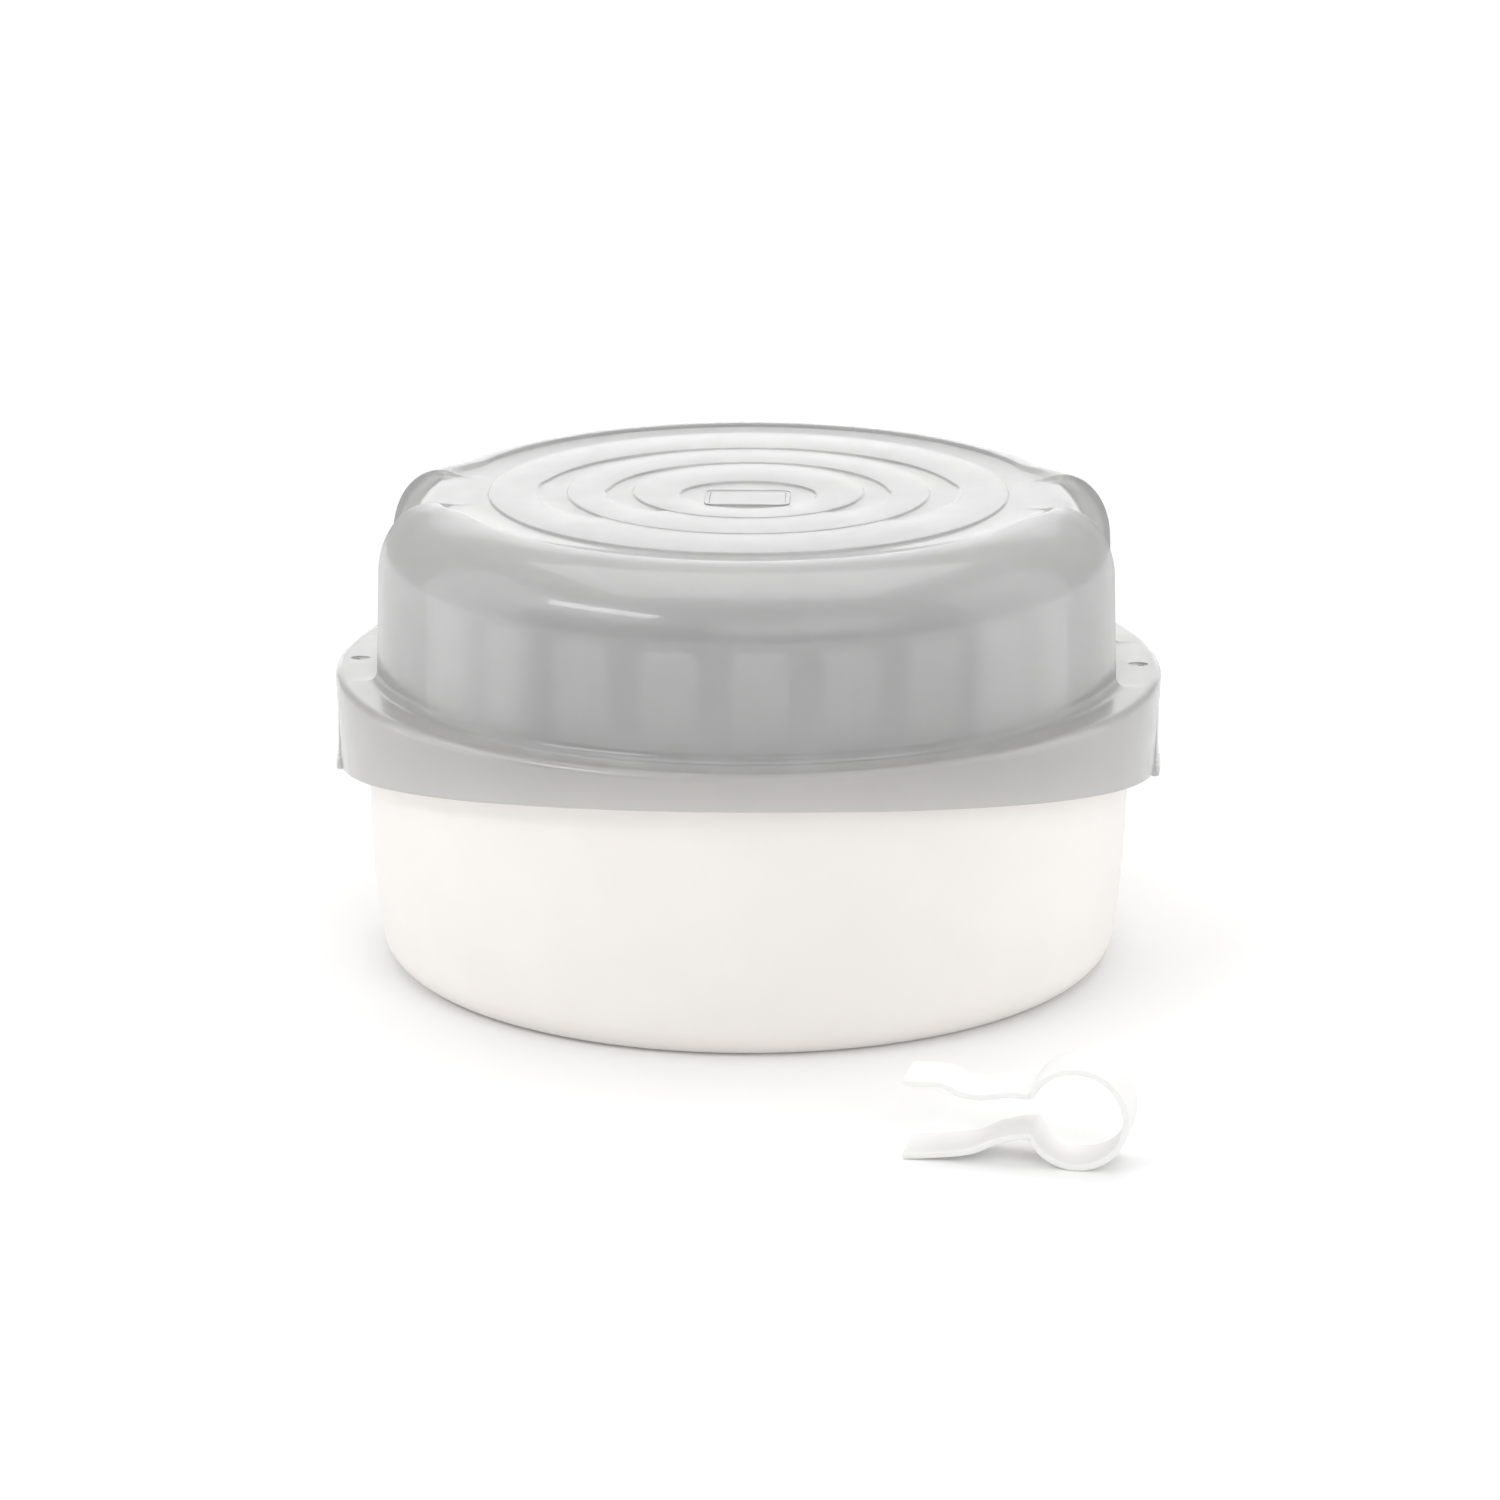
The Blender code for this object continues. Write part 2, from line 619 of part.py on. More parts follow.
def rack_section(_angle):
    """Tub of the rack: floor and wall, before its slots are cut."""
    inner_r = RACK_R - WALL
    floor_top = RACK_FLOOR_BOTTOM + RACK_FLOOR_THICKNESS
    return [
        (0.0, RACK_FLOOR_BOTTOM),
        (RACK_R - RACK_CORNER, RACK_FLOOR_BOTTOM),
        (RACK_R, RACK_FLOOR_BOTTOM + RACK_CORNER),
        (RACK_R, RACK_TOP),
        (inner_r, RACK_TOP),
        (inner_r, floor_top),
        (0.0, floor_top),
    ]


def add_posts(rack, count, ring_r, sections):
    """Join a ring of upright tapered posts to the rack."""
    mesh_data = bmesh.new()
    for i in range(count):
        turn = 2.0 * pi * i / count
        middle = (ring_r * cos(turn), ring_r * sin(turn))
        add_round_bar(
            mesh_data, sections, lambda a, b, depth, m=middle: (m[0] + a, m[1] + b, depth)
        )
    combine(rack, new_object("posts", mesh_data), "UNION")


def window_outline():
    """Closed window low in the wall, as (across, up)."""
    half = STAVE_GAP / 2.0
    lower = quarter_arc((0.0, WINDOW_BOTTOM + half), (half, half), 180.0, 360.0, 4)
    upper = quarter_arc((0.0, WINDOW_TOP - half), (half, half), 0.0, 180.0, 4)
    return lower + upper


def slot_outline():
    """Open slot between two staves, flared at the top so that the staves end round."""
    half = STAVE_GAP / 2.0
    lower = quarter_arc((0.0, SLOT_BOTTOM + half), (half, half), 180.0, 360.0, 4)
    flare = half + STAVE_END_R
    right = quarter_arc((flare, RACK_TOP - STAVE_END_R), (STAVE_END_R, STAVE_END_R), 180.0, 90.0, 3)
    left = [(-across, up) for across, up in reversed(right)]
    return [*lower, *right, (flare, RACK_TOP + CLEAR), (-flare, RACK_TOP + CLEAR), *left]


def cut_wall(rack, outline):
    """Cut one outline through the wall between every two staves."""
    mesh_data = bmesh.new()
    for i in range(STAVES):
        turn = 2.0 * pi * (i + 0.5) / STAVES
        out = Vector((cos(turn), sin(turn), 0.0))
        across = Vector((-sin(turn), cos(turn), 0.0))
        add_prism(
            mesh_data,
            outline,
            lambda a, b, depth, o=out, s=across: o * depth + s * a + Vector((0.0, 0.0, b)),
            RACK_R - WALL - CLEAR,
            RACK_R + CLEAR,
        )
    combine(rack, new_object("wall_cutters", mesh_data), "DIFFERENCE")


def cut_floor(rack, count, inner_r, outer_r):
    """Cut radial steam slots through the floor, midway between the posts."""
    mesh_data = bmesh.new()
    half = FLOOR_SLOT_WIDTH / 2.0
    outline = ((inner_r, -half), (outer_r, -half), (outer_r, half), (inner_r, half))
    for i in range(count):
        turn = Matrix.Rotation(2.0 * pi * (i + 0.5) / count, 3, "Z")
        add_prism(
            mesh_data,
            outline,
            lambda a, b, depth, t=turn: t @ Vector((a, b, depth)),
            RACK_FLOOR_BOTTOM - CLEAR,
            RACK_FLOOR_BOTTOM + RACK_FLOOR_THICKNESS + CLEAR,
        )
    combine(rack, new_object("floor_cutters", mesh_data), "DIFFERENCE")


def make_rack(material):
    """Rack: tub with a fence of staves, pegs for upturned bottles, and feet."""
    sides = STAVES * 3
    angles = [2.0 * pi * i / sides for i in range(sides)]
    rack = lofted_body("bottle_rack", rack_section, angles, material)
    floor_middle = RACK_FLOOR_BOTTOM + RACK_FLOOR_THICKNESS / 2.0
    add_posts(
        rack,
        PEGS,
        PEG_RING_R,
        (
            (floor_middle, PEG_FOOT_R),
            (PEG_TOP - PEG_TIP_BREAK, PEG_TIP_R),
            (PEG_TOP, PEG_TIP_R - PEG_TIP_BREAK),
        ),
    )
    add_posts(
        rack,
        FEET,
        FOOT_RING_R,
        ((BOWL_FLOOR + GAP, FOOT_TIP_R), (floor_middle, FOOT_R)),
    )
    cut_wall(rack, window_outline())
    cut_wall(rack, slot_outline())
    cut_floor(rack, *OUTER_FLOOR_SLOTS)
    cut_floor(rack, *INNER_FLOOR_SLOTS)
    rack.data.transform(Matrix.Rotation(radians(RACK_TURN_DEG), 4, "Z"))
    shade_smooth(rack)
    return rack


# Tongs


def strip_outline(line):
    """Outline of a strip of even thickness around a line, up to the line's last point but one."""
    half = TONGS_THICKNESS / 2.0
    left = []
    right = []
    for i, point in enumerate(line[:-1]):
        before = Vector(line[max(0, i - 1)])
        after = Vector(line[i + 1])
        along = (after - before).normalized()
        normal = Vector((-along[1], along[0]))
        left.append(tuple(Vector(point) + normal * half))
        right.append(tuple(Vector(point) - normal * half))
    return left + right[::-1]


def arm_line(arm, up):
    """Middle line of an arm and its half of the bow, and one step on, which gives the end its direction.

    up is 1 for the upper arm and -1 for the lower.
    """
    neck_deg = degrees(asin(NECK_HEIGHT / BOW_R))
    end_deg = degrees(BOW_GAP / 2.0 / BOW_R)
    beyond_deg = end_deg - (180.0 - neck_deg - end_deg) / BOW_STEPS
    radii = (BOW_R, BOW_R)
    bow = quarter_arc(BOW_CENTRE, radii, up * (180.0 - neck_deg), up * beyond_deg, BOW_STEPS + 1)
    return [*arm, *bow]


def tongs_matrix():
    """Place of the tongs on the table: tips at the origin of their own frame."""
    place = Matrix.Translation((TONGS_TIP[0], TONGS_TIP[1], 0.0))
    return place @ Matrix.Rotation(radians(TONGS_TURN_DEG), 4, "Z")


def make_tongs_arm(name, arm, up, material):
    """One arm of the tongs, with its origin at the far side of the bow, where the strip flexes."""
    placed = tongs_matrix()
    mesh_data = bmesh.new()
    add_prism(
        mesh_data,
        strip_outline(arm_line(arm, up)),
        lambda a, b, depth: placed @ Vector((a, depth, b)),
        0.0,
        TONGS_WIDTH,
    )
    item = new_object(name, mesh_data, material)
    shade_smooth(item)
    flex = placed @ Vector((BOW_CENTRE[0] + BOW_R, TONGS_WIDTH / 2.0, BOW_CENTRE[1]))
    set_origin(item, *flex)
    return item


def main():
    """Build every node."""
    clear_scene()
    white = plastic("bowl_white", (0.86, 0.85, 0.83), 0.38)
    rack_white = plastic("rack_white", (0.80, 0.82, 0.84), 0.42)
    grey = plastic("lid_grey", (0.50, 0.51, 0.53), 0.25)
    latch_grey = plastic("latch_grey", (0.62, 0.63, 0.64), 0.30)
    tongs_white = plastic("tongs_white", (0.86, 0.86, 0.86), 0.40)
    make_bowl(white)
    make_rack(rack_white)
    make_lid(grey)
    make_latch("latch_left", -1.0, latch_grey)
    make_latch("latch_right", 1.0, latch_grey)
    make_tongs_arm("tongs_lower", LOWER_ARM, -1.0, tongs_white)
    make_tongs_arm("tongs_upper", UPPER_ARM, 1.0, tongs_white)


main()
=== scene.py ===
"""Looks for the microwave steam steriliser: fine meshes, plastics, studio and camera.

Sizes are in millimetres up to new_piece, which makes metres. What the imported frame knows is
read from it; the rest repeats the driving sizes of the design.
"""

import json
from math import asin, cos, degrees, pi, radians, sin, sqrt

import bmesh
import bpy
from mathutils import Matrix, Vector

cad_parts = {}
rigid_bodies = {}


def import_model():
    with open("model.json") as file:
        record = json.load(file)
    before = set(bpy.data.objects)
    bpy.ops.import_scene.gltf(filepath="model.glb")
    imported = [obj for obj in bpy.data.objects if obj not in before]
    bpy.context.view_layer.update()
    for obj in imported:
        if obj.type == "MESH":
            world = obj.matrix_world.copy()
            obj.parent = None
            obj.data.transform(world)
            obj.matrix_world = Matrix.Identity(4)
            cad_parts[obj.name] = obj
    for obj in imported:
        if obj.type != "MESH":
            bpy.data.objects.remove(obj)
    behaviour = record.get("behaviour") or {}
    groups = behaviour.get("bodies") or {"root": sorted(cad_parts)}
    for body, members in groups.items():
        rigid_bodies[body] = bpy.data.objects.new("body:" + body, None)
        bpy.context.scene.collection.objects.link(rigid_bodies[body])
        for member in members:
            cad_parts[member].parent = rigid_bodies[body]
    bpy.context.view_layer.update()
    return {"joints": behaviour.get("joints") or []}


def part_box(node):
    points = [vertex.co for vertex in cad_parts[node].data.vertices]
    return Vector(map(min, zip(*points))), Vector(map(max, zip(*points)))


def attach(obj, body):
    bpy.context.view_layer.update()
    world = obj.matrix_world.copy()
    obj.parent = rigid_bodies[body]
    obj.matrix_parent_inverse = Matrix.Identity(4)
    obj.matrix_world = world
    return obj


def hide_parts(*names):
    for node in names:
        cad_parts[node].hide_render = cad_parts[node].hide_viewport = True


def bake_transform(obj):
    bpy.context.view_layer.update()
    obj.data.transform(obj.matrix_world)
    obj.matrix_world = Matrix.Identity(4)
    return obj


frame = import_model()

MM = 0.001


def frame_box(node):
    """Lowest and highest corner of a CAD node in millimetres."""
    low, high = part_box(node)
    return Vector(low) / MM, Vector(high) / MM


LID_LOW, LID_HIGH = frame_box("lid")
BOWL_LOW, BOWL_HIGH = frame_box("base_bowl")
RACK_LOW, RACK_HIGH = frame_box("bottle_rack")
LATCH_LOW, LATCH_HIGH = frame_box("latch_right")
JOINTS = {joint["name"]: joint for joint in frame["joints"]}

# Shared
WALL = 2.2
GAP = 0.3
FINE_EDGE = 0.5
EDGE = 0.6
SOFT_EDGE = 0.7
BROAD_EDGE = 0.8
FILLET_STEPS = 3
CREASE_DEG = 38.0
SLAB_RIM_TURNS = (0.0, 30.0, 60.0, 90.0)
CUT_PAST = 4.0  # how far a cutting tool reaches past what it cuts

# Bowl
RIM_TOP = BOWL_HIGH.z
RIM_BEAD_R = BOWL_HIGH.y
RIM_BEAD_HEIGHT = 3.4
BOWL_CORNER_R = 12.0
BOWL_FOOT_R = 119.0
BOWL_TOP_R = 134.8
BOWL_FLOOR = 2.6
BELLY_R = BOWL_FOOT_R + BOWL_CORNER_R + 2.5
BOWL_SIDE = ((BELLY_R - 0.9, 25.0), (BELLY_R, 36.0), (BELLY_R + 0.7, 48.0), (BOWL_TOP_R - 0.2, 62.0))
BOWL_NECK = (BOWL_TOP_R - 0.1, 80.0)
BOWL_COLUMNS = 256
LEAST_BEAD = 1.2  # height left of the bead under a steam notch
STEAM_NOTCH_DEPTH = 3.0
STEAM_NOTCH_DEG = (2.4, 3.4)  # half angle of the notch's floor, and of its ends
CATCH_R = BOWL_HIGH.x
CATCH_WIDTH = 20.0
CATCH_UNDERSIDE = 73.5
CATCH_HEIGHT = 3.5

# Lid
CREST_TOP = LID_HIGH.z
CREST_RISE = 1.4
DOME_TOP = CREST_TOP - CREST_RISE
LEDGE_TOP = 105.5
LEDGE_R = LID_HIGH.y
LEDGE_EDGE_R = 3.0
DOME_FOOT_R = 132.6
DOME_WALL_TOP_R = 131.6
DOME_WALL_TOP = 144.0
FOOT_FILLET_R = 3.6
CREST_R = 105.0
CREST_WIDTH = 1.8
CREST_SOFTENING = 5.0  # how much wider the crest's inner slope gets beside a recess
CREST_PROFILE = ((0.0, 0.0), (0.22, 0.11), (0.56, 0.82), (0.72, 0.96))  # shares of width and rise
CREST_FLARE = 8.0
CREST_FLARE_DEG = 28.0
SKIRT_BOTTOM_R = 144.6
SKIRT_SIDE_BOTTOM = LID_LOW.z
SKIRT_FRONT_RISE = 22.8
SKIRT_SHAPE = 1.3
SKIRT_BULGE = 0.7
INNER_FILLET = 2.0
RECESS_TOP_R = 109.5
RECESS_FOOT_R = 126.0
RECESS_LIP = 2.0
RECESS_UPRIGHT = 5.0  # straight part of the recess's back wall above the ledge
RECESS_SINK = 0.1
RECESS_FLAT_DEG = 10.0
RECESS_EDGE_DEG = 13.0
RECESS_INNER_SHIFT_DEG = 0.7
RECESS_CLOSE_STEPS = (RECESS_FLAT_DEG - 1.0, 0.2, 26)  # first angle, step and count over a corner
RECESS_CORNER_SHARE = 0.16
RECESS_RUN_OUT = 2.2
LID_CREASE_DEG = 32.0
SHOULDER_STEPS = 18
WALL_STEPS = 6

# Lid: ripple pattern
RIPPLE_R = 91.0
RIPPLE_RISE = 0.75
RIPPLE_SLOPE = 0.7
RIPPLE_RINGS = ((64.0, 10.0, 11.7), (41.0, 9.0, 3.6))
RIPPLE_PEAK_DEG = 8.0
RIPPLE_SPAN_DEG = 52.0
RIPPLE_POINT_SHARE = 0.85
RIPPLE_BACK_WIDTH = 2.2
RIPPLE_FRONT_WIDTH = 1.2
RIPPLE_BACK_FADE = 1.6
RIPPLE_LINE_DEPTH = (0.35, 0.2)  # share of the rise in a thin line, and its growth for each mm of width
RIPPLE_FILLET = 0.3
HOLLOW_HALF = (23.6, 20.0)  # half axes of the oval hollow in the middle
HOLLOW_Y = -6.0
PLATE_HALF = (15.0, 11.0)  # plain framed plate in that hollow
PLATE_Y = -10.0
PLATE_RISE = 0.7
PLATE_FRAME = 1.6
PLATE_CORNER_R = 4.0
PLATE_FLOOR = 0.1
PLATE_SUNK = 1.0

# Lid: vents
VENT_X = 139.4
VENT_R = 1.6
VENT_DIMPLE = (3.6, 2.6)  # half length along the radius, half width
VENT_FUNNEL = ((0.7, 0.0), (0.6, 0.12), (0.48, 0.7), (0.18, 0.95))  # depth under the ledge, share of the spread
VENT_MOUTH = (1.0, 1.1)  # height above the ledge, share of the spread
VENT_SHIFT = 1.6  # how much nearer to the dome the middle of the dimple lies

# Latches
LATCH_AXIS_X = JOINTS["latch_right_swing"]["pos_m"][0] / MM
LATCH_AXIS_Z = JOINTS["latch_right_swing"]["pos_m"][2] / MM
LATCH_BARREL_R = 3.1
LATCH_WIDTH = 35.0
LATCH_FACE_X = 145.5
LATCH_THICKNESS = 2.0
LATCH_TOP = 93.4
LATCH_BOTTOM = LATCH_LOW.z
LATCH_TAB_TOP = 80.0
LATCH_TAB_OUT = LATCH_HIGH.x - LATCH_FACE_X
LATCH_CURVE_R = 145.0
LATCH_GRIP_RIBS = 3
LATCH_RIB_START = LATCH_TAB_TOP - 4.0
LATCH_RIB_DEPTH = 0.45
LATCH_TAB_LIP = 2.2
LATCH_TAB_FILLET = 1.5
LATCH_END = ((0.0, 0.55), (0.15, 0.8), (0.6, 1.0))  # distance from the plate's end, share of its thickness
HOOK_TIP_X = LATCH_LOW.x
HOOK_WIDTH = 18.0
HOOK_TOP = 72.9
HOOK_HEIGHT = 3.2
HOOK_EDGE = 0.4
HOOK_TIP_SHARE = 0.45  # share of the hook's height that its upright tip takes
BAR_EDGE = 0.3
TRUNNION_R = 1.4
TRUNNION_LENGTH = 2.4
TRUNNION_HOLE_R = 1.7
TRUNNION_HOLE_PAST = 1.0  # how far the hole's cutter reaches past the cheeks, short of the skirt
WINDOW_TOP = 95.6
WINDOW_SIDE_GAP = 0.5
CHEEK_THICKNESS = 3.0
CHEEK_INNER_X = 138.4
CHEEK_BOTTOM = 87.4
CHEEK_ROOT = RIM_TOP + GAP + 0.4  # just inside the ledge, so the two join
CHEEK_OUTER_X = SKIRT_BOTTOM_R - 2.4
CHEEK_FILLET = 2.5
HALF_WINDOW = LATCH_WIDTH / 2.0 + WINDOW_SIDE_GAP

# Rack
RACK_R = 119.7
RACK_TOP = RACK_HIGH.z
RACK_FLOOR_BOTTOM = 20.0
RACK_FLOOR_THICKNESS = 2.5
RACK_TURN_DEG = 3.7
STAVES = 24
STAVE_GAP = 11.0
STAVE_END_R = 4.0
STAVE_TIP_SHARES = (0.92, 0.7, 0.35)  # thickness of a stave in its last steps
STAVE_ROOT = 4.0  # how far a stave reaches down into the low wall
TUB_TOP = 58.0
TUB_FILLETS = (2.4, 0.9, 3.0)  # foot, top edge, inside of the foot
FLOOR_TOP = RACK_FLOOR_BOTTOM + RACK_FLOOR_THICKNESS
FLOOR_MIDDLE = RACK_FLOOR_BOTTOM + RACK_FLOOR_THICKNESS / 2.0
HOOP = (92.0, 98.5)
HOOP_THICKNESS = WALL + 0.4
HOOP_ROUNDING = 0.9  # share of half the hoop's thickness
PEGS = 6
PEG_RING_R = 74.0
PEG_TIP_R = 4.5
PEG_TOP = 64.5
PEG_ROOT = ((-1.25, 7.5), (0.0, 7.5), (0.8, 6.6), (2.5, 6.1))  # height over the floor, radius
FEET = 6
FOOT_RING_R = 100.0
FOOT_LOW = BOWL_FLOOR + GAP
FOOT_SECTIONS = ((FOOT_LOW, 3.2), (FOOT_LOW + 0.4, 3.8), (FOOT_LOW + 1.2, 4.0), (FLOOR_MIDDLE, 5.0))
FLOOR_SLOT_WIDTH = 8.0
OUTER_FLOOR_SLOTS = (12, 84.0, 110.0)
INNER_FLOOR_SLOTS = (6, 18.0, 58.0)

# Tongs
TONGS_TIP = (56.8, -225.1)
TONGS_TURN_DEG = -9.9
TONGS_WIDTH = 20.0
TONGS_THICKNESS = 2.1
TONGS_EDGE_R = 0.55
BOW_CENTRE = (56.0, 17.3)
BOW_R = 16.2
NECK_HEIGHT = 5.5
UPPER_ARM = ((0.0, 26.0), (12.0, 26.0), (18.0, 23.6), (25.0, 22.8), (33.0, 24.2), (37.5, 24.3))
LOWER_ARM = ((0.0, 1.06), (12.0, 2.4), (22.0, 4.2), (30.0, 8.0), (37.5, 10.2))

# Finishes. Noise scales are for coordinates in metres, and bump heights are in metres.
NOISE_SPAN = (0.3, 0.7)  # most of a noise lies between these values
CLOUD_SCALE = 38.0
WAVE_SCALE = 22.0
GRAIN_HEIGHT = 0.00006
WAVE_HEIGHT = 0.0004
WHITE_SHADER = {
    "IOR": 1.49,
    "Subsurface Weight": 0.12,
    "Subsurface Radius": (1.0, 0.9, 0.8),
    "Subsurface Scale": 0.002,
}
WHITE_SHINE = (140.0, -0.04, 0.05)  # noise scale, and how far it lowers and raises the roughness
WHITE_WAVE = 0.2
GREY_SHADER = {
    "IOR": 1.45,
    "Coat Weight": 0.7,
    "Coat Roughness": 0.06,
    "Coat IOR": 1.45,
}
GREY_SHINE = (90.0, -0.03, 0.04)
GREY_GRAIN = (500.0, 0.015)  # noise scale, strength
GREY_WAVE = 0.06
BOWL_FINISH = {
    "shades": ((0.87, 0.835, 0.805), (0.85, 0.815, 0.785)),
    "roughness": 0.42,
    "grain": (700.0, 0.10),
}
RACK_FINISH = {
    "shades": ((0.84, 0.85, 0.86), (0.81, 0.82, 0.84)),
    "roughness": 0.45,
    "grain": (600.0, 0.12),
}
TONGS_FINISH = {
    "shades": ((0.88, 0.875, 0.868), (0.86, 0.855, 0.848)),
    "roughness": 0.40,
    "grain": (650.0, 0.12),
}
LID_FINISH = {
    "shades": ((0.70, 0.698, 0.694), (0.685, 0.683, 0.679)),
    "transmission": 0.82,
    "roughness": 0.32,
    "shadow_tint": 0.60,
    "shadow_pass": 0.85,
}
LATCH_FINISH = {
    "shades": ((0.72, 0.72, 0.72), (0.705, 0.705, 0.705)),
    "transmission": 0.45,
    "roughness": 0.32,
    "shadow_tint": 0.70,
    "shadow_pass": 0.7,
}

# Studio, in metres and watts. The room brightens from its front (share 0) to its back (share 1).
ROOM_LEVELS = ((0.05, 0.36), (0.42, 0.66), (0.95, 0.74))
FLOOR_R = 6000.0
FLOOR_SHADER = {
    "Base Color": (0.92, 0.92, 0.92, 1.0),
    "Roughness": 0.9,
    "Specular IOR Level": 0.0,
    "Emission Color": (1.0, 1.0, 1.0, 1.0),
}
FLOOR_GLOW = (0.06, 0.60)  # near the object, and far from it
FLOOR_GLOW_REACH = (0.30, 2.4)
LIGHTS = {  # place, target, width and height, power
    "overhead": ((0.0, 0.2, 1.7), (0.0, 0.0, 0.1), (1.7, 1.5), 12.5),
    "back_panel": ((0.0, 2.7, 0.9), (0.0, 0.0, 0.4), (2.6, 1.8), 9.0),
    "left_card": ((-0.44, -0.08, 0.25), (0.0, -0.08, 0.2), (0.31, 0.5), 0.42),
    "right_card": ((0.44, -0.06, 0.25), (0.0, -0.06, 0.2), (0.31, 0.5), 0.42),
    "left_key": ((-1.35, -1.2, 1.5), (0.0, 0.0, 0.15), (1.3, 0.26), 8.5),
    "front_fill": ((0.8, -2.3, 1.5), (0.0, 0.0, 0.1), (2.4, 1.2), 22.0),
}
OFF_FLOOR = ("left_card", "right_card")  # too near the floor to light it without an edge

# Camera
CAMERA_AZIMUTH_DEG = 1.8
CAMERA_ELEVATION_DEG = 15.9
CAMERA_DISTANCE = 2086.0
CAMERA_TARGET = (0.5, 0.0, 72.6)
CAMERA_LENS = 140.6


# Shapes


def new_piece(name, mesh_data, material, body, nodes=()):
    """Turn a bmesh in millimetres into a piece that rides on a body."""
    item = plain_object(name, mesh_data)
    item.data.materials.append(material)
    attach(item, body)
    if nodes:
        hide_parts(*nodes)
    return item


def plain_object(name, mesh_data):
    """Turn a bmesh in millimetres into an object in metres."""
    bmesh.ops.recalc_face_normals(mesh_data, faces=mesh_data.faces)
    bmesh.ops.scale(mesh_data, vec=(MM, MM, MM), verts=mesh_data.verts)
    mesh = bpy.data.meshes.new(name)
    mesh_data.to_mesh(mesh)
    mesh_data.free()
    item = bpy.data.objects.new(name, mesh)
    bpy.context.scene.collection.objects.link(item)
    return item


def shade_smooth(item, crease_deg=CREASE_DEG):
    """Shade round faces smooth and keep edges sharper than the crease angle."""
    for polygon in item.data.polygons:
        polygon.use_smooth = True
    item.data.set_sharp_from_angle(angle=radians(crease_deg))


def combine(item, tool, operation):
    """Join or cut with another object, which is then removed."""
    modifier = item.modifiers.new(operation.lower(), "BOOLEAN")
    modifier.operation = operation
    modifier.solver = "EXACT"
    modifier.object = tool
    bpy.context.view_layer.objects.active = item
    bpy.ops.object.modifier_apply(modifier=modifier.name)
    bpy.data.objects.remove(tool, do_unlink=True)


def arc(centre, radii, start_deg, end_deg, steps):
    """Points on an arc or ellipse from one angle to another, both ends included."""
    points = []
    for i in range(steps + 1):
        turn = radians(start_deg + (end_deg - start_deg) * i / steps)
        points.append((centre[0] + radii[0] * cos(turn), centre[1] + radii[1] * sin(turn)))
    return points


def rounded(corners, closed=False):
    """Round the corners of an outline. A corner is (a, b) or (a, b, radius)."""
    count = len(corners)
    points = []
    for i, corner in enumerate(corners):
        at_end = not closed and i in (0, count - 1)
        if at_end or len(corner) == 2:
            points.append((corner[0], corner[1]))
            continue
        here = Vector(corner[:2])
        before = Vector(corners[i - 1][:2]) - here
        after = Vector(corners[(i + 1) % count][:2]) - here
        reach = min(corner[2], 0.45 * before.length, 0.45 * after.length)
        start = here + before.normalized() * reach
        end = here + after.normalized() * reach
        for k in range(FILLET_STEPS + 1):
            t = k / FILLET_STEPS
            point = start * (1.0 - t) ** 2 + here * 2.0 * t * (1.0 - t) + end * t * t
            points.append((point[0], point[1]))
    return points


def smoothstep(low, high, value):
    """Rise smoothly from 0 at low to 1 at high."""
    share = min(1.0, max(0.0, (value - low) / (high - low)))
    return share * share * (3.0 - 2.0 * share)


def angle_from_x(angle):
    """Degrees between a direction and the nearer end of the X axis."""
    return abs((degrees(angle) + 90.0) % 180.0 - 90.0)


def even_angles(count):
    """Evenly spaced angles around Z."""
    return [2.0 * pi * i / count for i in range(count)]


def loft_around(mesh_data, section_at, angles):
    """Loft the section of each angle around Z. A section starts and ends on the axis."""
    sections = [section_at(angle) for angle in angles]
    first_pole = mesh_data.verts.new((0.0, 0.0, sections[0][0][1]))
    last_pole = mesh_data.verts.new((0.0, 0.0, sections[0][-1][1]))
    columns = []
    for angle, section in zip(angles, sections):
        points = [(r * cos(angle), r * sin(angle), z) for r, z in section[1:-1]]
        columns.append([mesh_data.verts.new(point) for point in points])
    for i, column in enumerate(columns):
        following = columns[(i + 1) % len(columns)]
        mesh_data.faces.new((first_pole, column[0], following[0]))
        mesh_data.faces.new((last_pole, following[-1], column[-1]))
        for k in range(len(column) - 1):
            mesh_data.faces.new((column[k], column[k + 1], following[k + 1], following[k]))


def loft_rings(mesh_data, rings, closed=False):
    """Skin a row of point loops of equal length; the ends are capped unless the row closes."""
    loops = [[mesh_data.verts.new(point) for point in ring] for ring in rings]
    pairs = list(zip(loops, loops[1:]))
    if closed:
        pairs.append((loops[-1], loops[0]))
    else:
        mesh_data.faces.new(loops[0])
        mesh_data.faces.new(reversed(loops[-1]))
    for below, above in pairs:
        for i in range(len(below)):
            j = (i + 1) % len(below)
            mesh_data.faces.new((below[j], below[i], above[i], above[j]))


def add_round_bar(mesh_data, sections, to_point, sides=32):
    """Add a bar along depth. sections lists (depth, radius); to_point places (a, b, depth)."""
    rings = []
    for depth, radius in sections:
        turns = even_angles(sides)
        rings.append([to_point(radius * cos(turn), radius * sin(turn), depth) for turn in turns])
    loft_rings(mesh_data, rings)


def add_prism(mesh_data, outline, to_point, start, end):
    """Add a prism: to_point places outline point (a, b) at depth start or end."""
    rings = [[to_point(a, b, depth) for a, b in outline] for depth in (start, end)]
    loft_rings(mesh_data, rings)


def along_y(a, b, depth):
    """Place an outline point (x, z) at a depth along Y."""
    return (a, depth, b)


